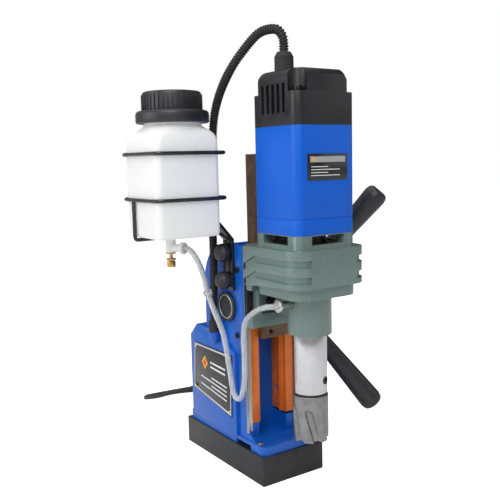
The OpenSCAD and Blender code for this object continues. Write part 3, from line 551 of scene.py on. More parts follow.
POWDER = Finish("powder_black", (0.014, 0.014, 0.015), 0.4, 0.0, 0.35, 0.02, 0.15)
GLOSS = Finish("plate_black", (0.014, 0.014, 0.016), 0.25, 0.0, 0.5, 0.004, 0.1, 0.3)
SILVER = Finish("plate_silver", (0.68, 0.69, 0.7), 0.3, 0.9, 0.4, 0.004, 0.06)
INK_WHITE, INK_GREY, INK_RED, INK_GOLD = (
    Finish(f"ink_{name}", colour, 0.4, 0.0, 0.4, 0.004, 0.05)
    for name, colour in (("white", (0.75, 0.75, 0.75)), ("grey", (0.35, 0.36, 0.38)),
                         ("red", (0.72, 0.05, 0.02)), ("gold", (0.8, 0.45, 0.02))))
BRASS = Finish("turned_brass", (0.65, 0.4, 0.13), 0.28, 1.0, 0.3, 0.004, 0.12)
NICKEL = Finish("nickel", (0.62, 0.6, 0.56), 0.26, 1.0, 0.3, 0.004, 0.1)
COPPER = Finish("winding_copper", (0.55, 0.2, 0.07), 0.35, 0.9, 0.3, 0.03, 0.2, stretch=(1, 1, 4))
IRON = Finish("laminations", (0.32, 0.31, 0.3), 0.45, 0.9, 0.35, 0.03, 0.15, stretch=(0.05, 0.05, 3))
GEAR = Finish("gear_steel", (0.45, 0.46, 0.48), 0.3, 1.0, 0.4, 0.005, 0.1)
BOARD = Finish("board_green", (0.02, 0.16, 0.07), 0.4, 0.0, 1.5, 0.02, 0.2)
RED = Finish("switch_red", (0.62, 0.02, 0.015), 0.28, 0.0, 0.4, 0.004, 0.06)
GREEN = Finish("switch_green", (0.02, 0.4, 0.07), 0.28, 0.0, 0.4, 0.004, 0.06)
WHITE = Finish("white_plastic", (0.7, 0.7, 0.69), 0.35, 0.0, 0.4, 0.006, 0.03)
# The milky bottle carries a painted glow from its faint emission.
MILKY = Clear("bottle_milky", (0.9, 0.9, 0.895), 0.42, 0.0, 6.0, 0.01, 0.02, see_through=0.1, milk=0.3)
HOSE = Clear("hose_clear", (0.93, 0.95, 0.97), 0.1, 0.0, 2.0, 0.003, 0.01, see_through=0.75)


def dress(obj: Object, finish: Finish, body: str, replaces: Iterable[str] = ()) -> Object:
    """Gives a piece its finish and its body, and hides the CAD nodes it stands for.

    Args:
        obj: The piece, final and at the origin.
        finish: Its finish.
        body: Name of the body it rides on, or an empty text for none.
        replaces: CAD nodes that it stands for.

    Returns:
        The same piece.
    """
    obj.data.materials.clear()
    obj.data.materials.append(finish.build())
    if replaces:
        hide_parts(*replaces)
    if body:
        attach(obj, body)
    LOG.info("piece %s: %d faces on %s", obj.name, len(obj.data.polygons), body or "two bodies")
    return obj


# ---------------------------------------------------------------- repeated detail


class Nodes(Enum):
    """Socket kinds of a geometry node tree's inputs."""

    FLOAT = "NodeSocketFloat"
    INT = "NodeSocketInt"
    OBJECT = "NodeSocketObject"
    MATERIAL = "NodeSocketMaterial"


@dataclass
class Tree:
    """A geometry node tree with named inputs, built once and used by many modifiers."""

    name: str
    inputs: dict[str, Nodes]
    group: NodeTree = field(init=False)
    entry: Node = field(init=False)
    exit: Node = field(init=False)

    def __post_init__(self) -> None:
        """Makes the empty tree."""
        self.group = bpy.data.node_groups.new(self.name, "GeometryNodeTree")
        face = self.group.interface
        face.new_socket("Geometry", in_out="INPUT", socket_type="NodeSocketGeometry")
        face.new_socket("Geometry", in_out="OUTPUT", socket_type="NodeSocketGeometry")
        for name, kind in self.inputs.items():
            face.new_socket(name, in_out="INPUT", socket_type=kind.value)
        self.entry = self.group.nodes.new("NodeGroupInput")
        self.exit = self.group.nodes.new("NodeGroupOutput")

    def add(self, kind: str, links: dict[str, Socket] | None = None, **values: object) -> Node:
        """Adds a node, links sockets into its inputs and sets its properties."""
        made = self.group.nodes.new(kind)
        for key, value in values.items():
            if hasattr(made, key):
                setattr(made, key, value)
            else:
                made.inputs[key].default_value = value
        for key, source in (links or {}).items():
            self.link(source, made.inputs[key])
        return made

    def link(self, source: Socket, target: Socket) -> None:
        """Links two sockets."""
        self.group.links.new(source, target)

    def join(self, *parts: Socket) -> None:
        """Ends the tree in several sockets' geometry, joined."""
        both = self.add("GeometryNodeJoinGeometry")
        for part in parts:
            self.link(part, both.inputs[0])
        self.finish(both.outputs[0])

    def finish(self, geometry: Socket) -> None:
        """Ends the tree in real geometry with the material set."""
        real = self.add("GeometryNodeRealizeInstances", {"Geometry": geometry})
        paint = self.add("GeometryNodeSetMaterial", {"Geometry": real.outputs[0],
                                                     "Material": self.entry.outputs["Material"]})
        self.link(paint.outputs[0], self.exit.inputs[0])

    def apply(self, obj: Object, **values: object) -> Object:
        """Runs the tree on an object and leaves it as plain mesh."""
        mod = obj.modifiers.new(self.name, "NODES")
        mod.node_group = self.group
        sockets = {s.name: s.identifier for s in self.group.interface.items_tree if s.in_out == "INPUT"}
        for key, value in values.items():
            mod[sockets[key]] = value
        return settle(obj)


def ring_tree() -> Tree:
    """Returns a tree that stands copies of a rib round the Z axis and keeps the body they stand on."""
    tree = Tree("ring_of_ribs", {"Rib": Nodes.OBJECT, "Count": Nodes.INT, "Material": Nodes.MATERIAL})
    ends = tree.entry.outputs
    rib = tree.add("GeometryNodeObjectInfo", {"Object": ends["Rib"]})
    points = tree.add("GeometryNodePoints", {"Count": ends["Count"]})
    index = tree.add("GeometryNodeInputIndex")
    share = tree.add("ShaderNodeMath", operation="DIVIDE")
    tree.link(index.outputs[0], share.inputs[0])
    tree.link(ends["Count"], share.inputs[1])
    turn = tree.add("ShaderNodeMath", operation="MULTIPLY")
    tree.link(share.outputs[0], turn.inputs[0])
    turn.inputs[1].default_value = 2 * math.pi
    axis = tree.add("ShaderNodeCombineXYZ", {"Z": turn.outputs[0]})
    copies = tree.add("GeometryNodeInstanceOnPoints", {"Points": points.outputs[0],
                                                       "Instance": rib.outputs["Geometry"],
                                                       "Rotation": axis.outputs[0]})
    tree.join(copies.outputs[0], ends["Geometry"])
    return tree


def rib_tree() -> Tree:
    """Returns a tree that turns a line of points into a tube with rings at an even pitch."""
    tree = Tree("ribbed_tube", {"Pitch": Nodes.FLOAT, "Bore": Nodes.FLOAT, "Crest": Nodes.FLOAT,
                                "Material": Nodes.MATERIAL})
    ends = tree.entry.outputs
    curve = tree.add("GeometryNodeMeshToCurve", {"Mesh": ends["Geometry"]})
    circle = tree.add("GeometryNodeCurvePrimitiveCircle", {"Radius": ends["Bore"]}, Resolution=18)
    tube = tree.add("GeometryNodeCurveToMesh", {"Curve": curve.outputs[0],
                                                "Profile Curve": circle.outputs[0]})
    tube.inputs["Fill Caps"].default_value = True
    points = tree.add("GeometryNodeCurveToPoints", {"Curve": curve.outputs[0], "Length": ends["Pitch"]},
                      mode="LENGTH")
    ring = tree.add("GeometryNodeCurvePrimitiveCircle", {"Radius": ends["Crest"]}, Resolution=20)
    wire = tree.add("GeometryNodeCurvePrimitiveCircle", Resolution=6, Radius=RIB_WIRE * MM)
    torus = tree.add("GeometryNodeCurveToMesh", {"Curve": ring.outputs[0], "Profile Curve": wire.outputs[0]})
    rings = tree.add("GeometryNodeInstanceOnPoints", {"Points": points.outputs[0],
                                                      "Instance": torus.outputs[0],
                                                      "Rotation": points.outputs["Rotation"]})
    tree.join(rings.outputs[0], tube.outputs[0])
    return tree


# ---------------------------------------------------------------- sub-assemblies


@dataclass(frozen=True)
class Piece:
    """A finished shape and how it is dressed."""

    obj: Object
    finish: Finish
    body: str
    slot: str
    nodes: tuple[str, ...]


@dataclass
class Assembly:
    """A sub-assembly whose shapes are built first and dressed afterwards."""

    record: dict
    pieces: list[Piece] = field(default_factory=list, init=False)

    def home(self, node: str) -> str:
        """Returns the body that a CAD node belongs to."""
        for name, nodes in self.record.items():
            if node in nodes:
                return name
        raise KeyError(node)

    def add(self, obj: Object, finish: Finish, body: str, slot: str, *nodes: str) -> Object:
        """Notes a shape with its finish, body, slot and the CAD nodes it stands for."""
        self.pieces.append(Piece(obj, finish, body, slot, nodes))
        return obj

    def plain(self, node: str, finish: Finish, slot: str, width: float = 0.3, segments: int = 2) -> Object:
        """Notes a CAD node shown as it is, with rounded creases."""
        return self.add(refined(node, width, segments), finish, self.home(node), slot, node)

    def build(self) -> None:
        """Makes the shapes."""
        raise NotImplementedError

    def dress(self) -> None:
        """Gives every shape its finish and its body."""
        for piece in self.pieces:
            dress(piece.obj, piece.finish, piece.body, piece.nodes)


@dataclass
class Studio:
    """Camera, floor and lights."""

    position: Point = (-438.4, -653.8, 339.4)
    heading: float = -34.07
    height: float = 7.20
    roll: float = -1.40
    lens: float = 50.52
    floor_glow: float = 0.85
    lamps: tuple[tuple[str, Point, float, float], ...] = (
        ("key", (-900, -1100, 1500), 1.1, 19), ("fill", (1300, -1000, 900), 1.3, 4),
        ("left", (-1500, 300, 700), 1.0, 8), ("top", (0, 200, 1900), 1.6, 12))
    aim: Point = (0, -40, 220)
    world_light: float = 0.4
    world_band: tuple[Pair, Pair] = ((0.1, 0.5), (1.0, 0.05))

    def build(self) -> None:
        """Builds the camera, the floor and the lights."""
        a, e, r = (math.radians(v) for v in (self.heading, self.height, self.roll))
        back = Vector((math.sin(a) * math.cos(e), -math.cos(a) * math.cos(e), math.sin(e)))
        right = Vector((math.cos(a), math.sin(a), 0))
        up = back.cross(right)
        turned_right = right * math.cos(r) + up * math.sin(r)
        turned_up = up * math.cos(r) - right * math.sin(r)
        data = bpy.data.cameras.new("camera")
        data.lens = self.lens
        data.sensor_width = 36
        data.clip_start = 0.01
        camera = bpy.data.objects.new("camera", data)
        place = Matrix((turned_right, turned_up, back)).transposed().to_4x4()
        place.translation = vec(self.position)
        camera.matrix_world = place
        scene = bpy.context.scene
        scene.collection.objects.link(camera)
        scene.camera = camera
        self.floor()
        for lamp in self.lamps:
            self.light(*lamp)
        scene.world = self.surroundings()
        scene.view_settings.view_transform = "Standard"

    def surroundings(self) -> bpy.types.World:
        """Returns a world that looks white behind the object and lights it softly."""
        world = bpy.data.worlds.new("studio")
        world.use_nodes = True
        tree = world.node_tree
        soft = tree.nodes["Background"]
        soft.inputs["Strength"].default_value = self.world_light
        place = tree.nodes.new("ShaderNodeTexCoord")
        split = tree.nodes.new("ShaderNodeSeparateXYZ")
        band = tree.nodes.new("ShaderNodeMapRange")
        band.interpolation_type = "SMOOTHSTEP"
        for side, values in zip(("From", "To"), self.world_band):
            for end, value in zip(("Min", "Max"), values):
                band.inputs[f"{side} {end}"].default_value = value
        tree.links.new(place.outputs["Generated"], split.inputs[0])
        tree.links.new(split.outputs["X"], band.inputs["Value"])
        tree.links.new(band.outputs["Result"], soft.inputs["Color"])
        plain = tree.nodes.new("ShaderNodeBackground")
        plain.inputs["Color"].default_value = WHITE_LIGHT
        seen = tree.nodes.new("ShaderNodeLightPath")
        either = tree.nodes.new("ShaderNodeMixShader")
        tree.links.new(seen.outputs["Is Camera Ray"], either.inputs[0])
        tree.links.new(soft.outputs[0], either.inputs[1])
        tree.links.new(plain.outputs[0], either.inputs[2])
        tree.links.new(either.outputs[0], tree.nodes["World Output"].inputs["Surface"])
        return world

    def floor(self) -> None:
        """Lays a pale floor."""
        bm = bmesh.new()
        bmesh.ops.create_grid(bm, x_segments=1, y_segments=1, size=6.0)
        obj = new_object("floor", bm, fix=False)
        paint = Finish("floor_pale", (0.86, 0.86, 0.86), 0.7, 0, 40, 0.0, 0.01, specular=0.1).build()
        surface = paint.node_tree.nodes["Principled BSDF"]
        surface.inputs["Emission Color"].default_value = WHITE_LIGHT
        seen = paint.node_tree.nodes.new("ShaderNodeLightPath")
        glow = paint.node_tree.nodes.new("ShaderNodeMath")
        glow.operation = "MULTIPLY"
        glow.inputs[1].default_value = self.floor_glow
        paint.node_tree.links.new(seen.outputs["Is Camera Ray"], glow.inputs[0])
        paint.node_tree.links.new(glow.outputs[0], surface.inputs["Emission Strength"])
        obj.data.materials.append(paint)

    def light(self, name: str, position: Point, size: float, power: float) -> None:
        """Hangs a square soft light that faces the middle of the object.

        Args:
            name: Name of the light.
            position: Its place in millimetres.
            size: Its side in metres.
            power: Its power in watts.
        """
        data = bpy.data.lights.new(name, "AREA")
        data.size = size
        data.energy = power
        lamp = bpy.data.objects.new(name, data)
        lamp.location = vec(position)
        aim = vec(self.aim) - lamp.location
        lamp.rotation_euler = aim.to_track_quat("-Z", "Y").to_euler()
        bpy.context.scene.collection.objects.link(lamp)


@dataclass
class Leads(Assembly):
    """Mains lead with its coil, tie and plug, the conduit and the coolant hose."""

    lead_d: float = 6.0
    conduit_d: float = 9.6
    hose_d: float = 6.0
    hose_bore: float = 4.0
    rib_pitch: float = 2.7
    coil_centre: Pair = (89.0, 168.0)
    coil_turns: tuple[Pair, ...] = (
        (45.0, 4.0), (38.9, 4.0), (32.8, 4.0), (26.6, 4.0), (26.6, 10.1), (32.8, 10.1), (38.9, 10.1),
        (45.0, 10.1), (32.8, 16.2), (38.9, 16.2), (44.6, 16.3))
    plug_turn: float = -30.0
    plug_low: Point = (-10.0, 5.0, 20.0)
    plug_high: Point = (28.0, 31.0, 40.0)
    lead_route: tuple[Point, ...] = (
        (23, 86, 57), (23, 92, 56.5), (20, 105, 54), (11, 118, 50), (-1, 128, 47), (-8, 132, 45),
        (-26, 146, 41), (-38, 167, 34), (-40, 190, 26), (-34, 212, 17), (-20, 231, 9), (0, 242, 4),
        (24, 245, 3), (46, 239, 3), (66, 229, 3), (87, 218.5, 3))
    conduit_route: tuple[Point, ...] = (
        (-19, -100, 443), (-19, -100, 452), (-21, -100, 459), (-25, -94, 465), (-32, -77, 463),
        (-40, -59, 447), (-46, -46, 431), (-47.5, -30, 413), (-48, -19, 395), (-48, -13, 376),
        (-48, -9, 340), (-48, -6, 300), (-47, -4, 268), (-45.5, -1.5, 247), (-44.5, 1, 213),
        (-44, 4, 188), (-44, 4, 164))
    hose_route: tuple[Point, ...] = (
        (-95.78, -28.15, 253), (-94.87, -29.93, 253), (-92, -33.5, 251), (-85, -35, 240), (-74, -28, 221),
        (-66, -21, 202), (-58, -21, 180), (-52, -28, 155), (-50, -34, 122), (-49, -39, 97), (-48, -44, 89),
        (-47, -51, 91), (-46.5, -57, 106), (-47, -60, 134), (-48, -61, 160), (-49, -68, 178), (-48, -86, 191),
        (-48.3, -98, 195.5), (-48, -105, 197.6), (-46.5, -108.5, 198), (-43, -110, 198), (-40, -110, 198))
    lead_path: list[Vector] = field(default_factory=list, init=False)
    conduit_path: list[Vector] = field(default_factory=list, init=False)
    hose_path: list[Vector] = field(default_factory=list, init=False)
    lead: Object | None = field(default=None, init=False)
    conduit: Object | None = field(default=None, init=False)
    hose: Object | None = field(default=None, init=False)
    plug: Object | None = field(default=None, init=False)
    pins: Object | None = field(default=None, init=False)

    def at_plug(self, x: float, y: float, z: float) -> Point:
        """Returns a point given in the plug's own axes as a point of the frame."""
        a = math.radians(self.plug_turn)
        return (self.coil_centre[0] + x * math.cos(a) - y * math.sin(a),
                self.coil_centre[1] + x * math.sin(a) + y * math.cos(a), z)

    def coil_route(self) -> list[Point]:
        """Returns the coil's turns, wound clockwise from the route's end, and the tail up to the plug."""
        points: list[Point] = []
        start, last, step = 76.0, 210.0 - 360.0, 20.0
        total = (len(self.coil_turns) - 1) * 360.0 + (start - last)
        for k in range(int(total / step) + 1):
            gone = k * step
            turn = min(int(gone // 360), len(self.coil_turns) - 1)
            share = max(0.0, (gone - turn * 360 - 270) / 90)
            low = self.coil_turns[turn]
            high = self.coil_turns[min(turn + 1, len(self.coil_turns) - 1)]
            share = share * share * (3 - 2 * share)
            r = low[0] + (high[0] - low[0]) * share + 0.25 * math.sin(gone * 0.031)
            slack = 0.2 * (1 + math.sin(gone * 0.017)) * (low[1] > 5)
            z = low[1] + (high[1] - low[1]) * min(1.0, share * 2) + slack
            a = math.radians(start - gone)
            points.append((self.coil_centre[0] + r * math.cos(a), self.coil_centre[1] + r * math.sin(a), z))
        points.append(self.at_plug(-37.0, -20.5, 19.0))
        for degrees, z in ((183, 22.4), (160, 25.4), (135, 28.2), (112, 29.8)):
            a = math.radians(degrees)
            points.append(self.at_plug(-16.5 + 24.5 * math.cos(a), -6.5 + 24.5 * math.sin(a), z))
        points += [self.at_plug(-14.0, 18.0, 30.0), self.at_plug(-8.0, 18.0, 30.0)]
        return points

    @staticmethod
    def tube(name: str, path: list[Vector], diameter: float, bore: float = 0.0, sides: int = 14) -> Object:
        """Returns a round tube along a path."""
        bm = bmesh.new()
        swept(bm, path, lambda _s: diameter / 2 * MM, sides, bore / 2 * MM)
        return new_object(name, bm, 50)

    def build(self) -> None:
        """Builds the lead, its plug and tie, the conduit and the hose."""
        self.lead_path = smooth_path(list(self.lead_route) + self.coil_route(), 3.0)
        self.lead = self.tube("lead_shape", self.lead_path, self.lead_d, sides=12)
        self.add(self.lead, RUBBER, "stand", "lead_rubber", "mains_lead", "lead_coil")
        self.plain("lead_tie", PLASTIC, "black_plastic", 0.5)
        self.build_plug()
        self.conduit_path = smooth_path(self.conduit_route, 2.0)
        bm = bmesh.new()
        line = [bm.verts.new(p) for p in self.conduit_path]
        for a, b in zip(line, line[1:]):
            bm.edges.new((a, b))
        conduit = new_object("conduit_shape", bm, fix=False)
        r = self.conduit_d / 2
        self.conduit = rib_tree().apply(conduit, Pitch=self.rib_pitch * MM, Bore=(r - 1.1) * MM,
                                        Crest=(r - RIB_WIRE) * MM, Material=PLASTIC.build())
        self.add(self.conduit, PLASTIC, "", "conduit_plastic", "conduit")
        self.hose_path = smooth_path(self.hose_route, 2.5)
        self.hose = self.tube("hose_shape", self.hose_path, self.hose_d, self.hose_bore, 20)
        self.add(self.hose, HOSE, "", "clear_hose", "coolant_hose")

    def build_plug(self) -> None:
        """Builds the plug's body with its ribbed boot, and its pins."""
        bm = bmesh.new()
        box(bm, self.plug_low, self.plug_high)
        body = bevel(new_object("plug_body", bm), 4.2, 5)
        bm = bmesh.new()
        bm.from_mesh(body.data)
        middle = (self.plug_low[1] + self.plug_high[1]) / 2
        profile = [(3.05, -18.0), (4.2, -18.0), (4.4, -16.5)]
        for k in range(3):
            profile += [(4.6 + k * 0.5, -16.3 + k * 2.2), (4.6 + k * 0.5, -15.2 + k * 2.2),
                        (4.0 + k * 0.5, -15.0 + k * 2.2), (4.0 + k * 0.5, -14.3 + k * 2.2)]
        profile += [(6.2, -9.0), (6.2, -7.0), (3.05, -7.0), (3.05, -18.0)]
        turned(bm, profile, (0, middle, 30), Axis.X, 24)
        turn = Matrix.Rotation(math.radians(self.plug_turn), 4, "Z")
        place = Matrix.Translation(vec((*self.coil_centre, 0))) @ turn
        bpy.data.objects.remove(body)
        plug = new_object("plug_shape", bm)
        plug.data.transform(place)
        self.plug = self.add(plug, RUBBER, "stand", "lead_rubber", "mains_plug")
        bm = bmesh.new()
        for side in (-9.5, 9.5):
            pin = [(0, 26), (2.2, 26), (2.2, 44.6), (1.6, 45.7), (0, 46)]
            turned(bm, pin, (0, middle + side, 30), Axis.X, 20)
        pins = new_object("plug_pins", bm)
        pins.data.transform(place)
        self.pins = self.add(pins, BRIGHT, "stand", "zinc")

    def dress(self) -> None:
        super().dress()
        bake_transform(self.conduit)
        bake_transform(self.hose)


@dataclass
class Stand(Assembly):
    """Magnet, casting, gibs, covers, switches and nameplate."""

    plate: tuple[Pair, ...] = ((-22, 59), (60, 74), (56, 130), (-25, 130))
    plate_x: float = -41.0
    cover_x: float = -39.0
    cover_at: Pair = (-13.0, 182.5)

    def on_plate(self, u: float, v: float) -> Pair:
        """Returns the place on the nameplate at a share of its width and height."""
        (a, b), (c, d), (e, f), (g, h) = self.plate
        return ((a * (1 - u) + c * u) * (1 - v) + (g * (1 - u) + e * u) * v,
                (b * (1 - u) + d * u) * (1 - v) + (h * (1 - u) + f * u) * v)

    def patch(self, name: str, areas: Sequence[Sequence[Pair]], thick: float = 0.18) -> Object:
        """Returns thin raised areas on the nameplate, each given by its corners as shares."""
        bm = bmesh.new()
        for area in areas:
            low = [bm.verts.new(vec((self.plate_x + 0.02, *self.on_plate(u, v)))) for u, v in area]
            high = [bm.verts.new(vec((self.plate_x - thick, *self.on_plate(u, v)))) for u, v in area]
            bm.faces.new(low)
            bm.faces.new(high)
            for k in range(len(area)):
                n = (k + 1) % len(area)
                bm.faces.new([low[k], low[n], high[n], high[k]])
        return new_object(name, bm)

    @staticmethod
    def bars(u0: float, u1: float, v: float, h: float) -> list[Pair]:
        """Returns the corners of an upright rectangle in shares."""
        return [(u0, v), (u1, v), (u1, v + h), (u0, v + h)]

    def build(self) -> None:
        """Builds the stand's pieces."""
        for row in (
                ("magnet_body", MAGNET_BLACK, "magnet_steel", 0.5),
                ("column_casting", CASTING, "blue_casting", 1.1, 3),
                ("foot_screws", BRIGHT, "zinc", 0.3), ("gib_left", ORANGE, "orange_gib", 0.4),
                ("gib_right", ORANGE, "orange_gib", 0.4), ("gib_screws", BRIGHT, "zinc"),
                ("side_set_screws", OXIDE, "black_steel"), ("nameplate", GLOSS, "black_plate", 0.15),
                ("shaft_cover", GRIP, "black_plastic", 0.5, 3),
                ("rear_cover", POWDER, "black_steel", 0.5), ("cover_screws", BRIGHT, "zinc", 0.2),
                ("magnet_switch", RED, "switch_red", 0.6, 3),
                ("start_button", GREEN, "switch_green", 0.8, 3),
                ("stop_button", RED, "switch_red", 0.8, 3),
                ("lead_gland", PLASTIC, "black_plastic", 0.5),
                ("shoulder_gland", PLASTIC, "black_plastic", 0.6)):
            self.plain(*row)
        self.build_plate()
        bm = bmesh.new()
        bead = [(12.2, -0.1), (12.2, 0.35), (12.5, 0.55), (13.0, 0.55), (13.3, 0.35), (13.3, -0.1),
                (12.2, -0.1)]
        turned(bm, bead, (0, 0, 0), Axis.X, 72)
        ring = new_object("cover_ring", bm)
        mirror = Matrix.Scale(-1, 4, (1, 0, 0))
        ring.data.transform(Matrix.Translation(vec((self.cover_x, *self.cover_at))) @ mirror)
        ring.data.flip_normals()
        self.add(ring, SILVER, "stand", "zinc")

    def build_plate(self) -> None:
        """Builds the nameplate's border and its plain graphics."""
        outer, inner = (0.012, 0.018), (0.03, 0.05)
        frame_bars = [self.bars(outer[0], 1 - outer[0], outer[1], inner[1] - outer[1]),
                      self.bars(outer[0], 1 - outer[0], 1 - inner[1], inner[1] - outer[1]),
                      self.bars(outer[0], inner[0], inner[1], 1 - 2 * inner[1]),
                      self.bars(1 - inner[0], 1 - outer[0], inner[1], 1 - 2 * inner[1])]
        self.add(self.patch("plate_border", frame_bars), SILVER, "stand", "zinc")
        diamond = [[(0.62, 0.66), (0.70, 0.52), (0.78, 0.66), (0.70, 0.80)]]
        self.add(self.patch("plate_emblem", diamond, 0.12), INK_GOLD, "stand", "black_plate")
        core = [[(0.65, 0.66), (0.70, 0.57), (0.75, 0.66), (0.70, 0.75)]]
        self.add(self.patch("plate_emblem_core", core, 0.2), INK_RED, "stand", "black_plate")
        rows = [self.bars(0.16, 0.55, 0.70 - k * 0.085, 0.03) for k in range(2)]
        rows += [self.bars(0.12, 0.52 + 0.28 * (k % 2), 0.42 - k * 0.075, 0.022) for k in range(4)]
        self.add(self.patch("plate_lines", rows, 0.12), INK_WHITE, "stand", "black_plate")


@dataclass
class Feed(Assembly):
    """Hub, rods and grips of the feed handles."""

    def build(self) -> None:
        """Builds the feed's pieces."""
        for row in (
                ("feed_hub", OXIDE, "black_steel", 0.5), ("feed_rods", BRIGHT, "polished_steel", 0.3),
                ("feed_grips", GRIP, "grip_plastic", 1.6, 4)):
            self.plain(*row)


@dataclass
class Head(Assembly):
    """Slide, gearbox, spindle, cutter and motor."""

    centre: Point = (0.0, -110.0, 0.0)
    motor_y: float = -104.0
    gland_at: Pair = (-19.0, -100.0)
    gland_r: float = 9.3
    gland_z: Pair = (420.0, 443.0)
    guide_r: Pair = (20.5, 21.8)
    guide_z: Pair = (257.6, 267.4)
    cutter_r: float = 18.0
    cutter_low: float = 55.0
    cutter_high: float = 102.6
    cutter_bore: float = 38.0
    cutter_wall: float = 5.0
    shank: float = 26.0
    shank_r: float = 9.5
    flutes: int = 6
    flute_depth: float = 2.3
    flute_top: float = 90.0
    helix: float = 0.016
    label_y: float = -141.1
    label_x: Pair = (-24.5, 24.5)
    label_z: Pair = (320.0, 345.0)

    def build(self) -> None:
        """Builds the head's pieces."""
        for row in (
                ("slide", BROWN, "brown_steel", 0.4), ("slide_guards", OXIDE, "black_steel", 0.3),
                ("head_screws", OXIDE, "black_steel", 0.3),
                ("gearbox_housing", HAMMER, "hammertone", 1.5, 4),
                ("gearbox_cover", HAMMER, "hammertone", 0.6, 3),
                ("motor_housing", MOTOR_BLUE, "blue_casting", 0.8, 3),
                ("motor_end_cap", CAP, "motor_plastic", 0.9, 3),
                ("end_cap_screws", OXIDE, "black_steel", 0.3),
                ("motor_label", GLOSS, "black_plate", 0.1)):
            self.plain(*row)
        self.add(self.gland(), PLASTIC, "carriage", "black_plastic", "motor_gland")
        for row in (
                ("spindle", GROUND, "polished_steel", 0.5, 3),
                ("arbor_set_screws", OXIDE, "black_steel"),
                ("pilot_pin", BRIGHT, "polished_steel", 0.5),
                ("collar_fitting", NICKEL, "brass_part", 0.4)):
            self.plain(*row)
        self.add(self.cutter(), TOOL, "spindle", "cutter_steel", "annular_cutter")
        # A black ring on the cutter's top shoulder, just under the arbor.
        bm = bmesh.new()
        seal = [(9.6, 0.05), (15.9, 0.05), (16.5, 0.6), (16.5, 1.7), (15.9, 2.25), (9.6, 2.25), (9.6, 0.05)]
        turned(bm, seal, (self.centre[0], self.centre[1], self.cutter_high), Axis.Z, 96)
        self.add(new_object("cutter_seal", bm), PLASTIC, "spindle", "black_plastic")
        bm = bmesh.new()
        (inner, outer), (low, high) = self.guide_r, self.guide_z
        turned(bm, [(inner, low), (outer, low), (outer, high), (inner, high), (inner, low)],
               (0, self.motor_y, 0), Axis.Z, 64)
        self.add(new_object("air_guide", bm), CAP, "carriage", "black_plastic")
        self.build_label()

    def gland(self) -> Object:
        """Returns the conduit's gland with an upright-ribbed nut."""
        bm = bmesh.new()
        (low, high), r = self.gland_z, self.gland_r
        turned(bm, [(0, low), (r, low), (r, low + 6.0), (r, low + 7.0), (r, high - 5.6), (r, high - 4.6),
                    (7.0, high - 0.6), (6.4, high), (0, high)], (*self.gland_at, 0), Axis.Z, 192,
               lambda a, z: -0.55 * (0.5 + 0.5 * math.cos(a * 24)) if low + 6.5 < z < high - 5 else 0.0)
        return new_object("gland_shape", bm, 40)

    def flute(self, angle: float, z: float) -> float:
        """Returns how far the cutter's skin lies below its full radius at an angle and height."""
        if not self.cutter_low - 0.1 < z < self.flute_top:
            return 0.0
        phase = (angle + (z - self.cutter_low) * self.helix) * self.flutes / (2 * math.pi) % 1.0
        if phase > 0.46:
            return 0.0
        fade = min(1.0, (self.flute_top - z) / 4.0)
        return -self.flute_depth * fade * min(1.0, phase / 0.05) * min(1.0, (0.46 - phase) / 0.1)

    def cutter(self) -> Object:
        """Returns the annular cutter with helical flutes and stepped teeth."""
        bm = bmesh.new()
        low, high, r = self.cutter_low, self.cutter_high, self.cutter_r
        skin = [(r, low + k * (self.flute_top - low) / 24) for k in range(25)]
        top, shank = low + self.cutter_bore, high + self.shank
        inner = r - self.cutter_wall
        profile = [(0, top), (inner, top), (inner, low), *skin, (r, high - 0.8), (r - 0.8, high),
                   (self.shank_r, high), (self.shank_r, shank), (0, shank)]
        turned(bm, profile, self.centre, Axis.Z, 180, lambda a, z: self.flute(a, z))
        for v in bm.verts:
            x, y = v.co.x - self.centre[0] * MM, v.co.y - self.centre[1] * MM
            if v.co.z < (low + 0.5) * MM and math.hypot(x, y) > (r - 6) * MM:
                phase = math.atan2(y, x) * self.flutes / (2 * math.pi) % 1.0
                v.co.z += 3.4 * MM * max(0.0, 0.5 - abs(phase - 0.2) * 1.6)
        return new_object("cutter_shape", bm, 24)

    def slab(self, name: str, areas: Sequence[tuple[float, float, float, float]], thick: float) -> Object:
        """Returns thin raised rectangles on the motor's label, each as shares of its width and height."""
        bm = bmesh.new()
        (x0, x1), (z0, z1) = self.label_x, self.label_z
        for u0, u1, v0, v1 in areas:
            box(bm, (x0 + (x1 - x0) * u0, self.label_y - thick, z0 + (z1 - z0) * v0),
                (x0 + (x1 - x0) * u1, self.label_y + 0.02, z0 + (z1 - z0) * v1))
        return new_object(name, bm)

    def build_label(self) -> None:
        """Builds plain graphics on the motor's label."""
        self.add(self.slab("label_band", [(0.06, 0.94, 0.68, 0.9)], 0.1), INK_GREY, "carriage", "black_plate")
        rows = [(0.08, 0.5 + 0.3 * (k % 2), 0.5 - k * 0.11, 0.53 - k * 0.11) for k in range(4)]
        self.add(self.slab("label_lines", rows, 0.08), INK_WHITE, "carriage", "black_plate")
        emblem = self.slab("label_emblem", [(0.12, 0.2, 0.72, 0.86)], 0.16)
        self.add(emblem, INK_GOLD, "carriage", "black_plate")


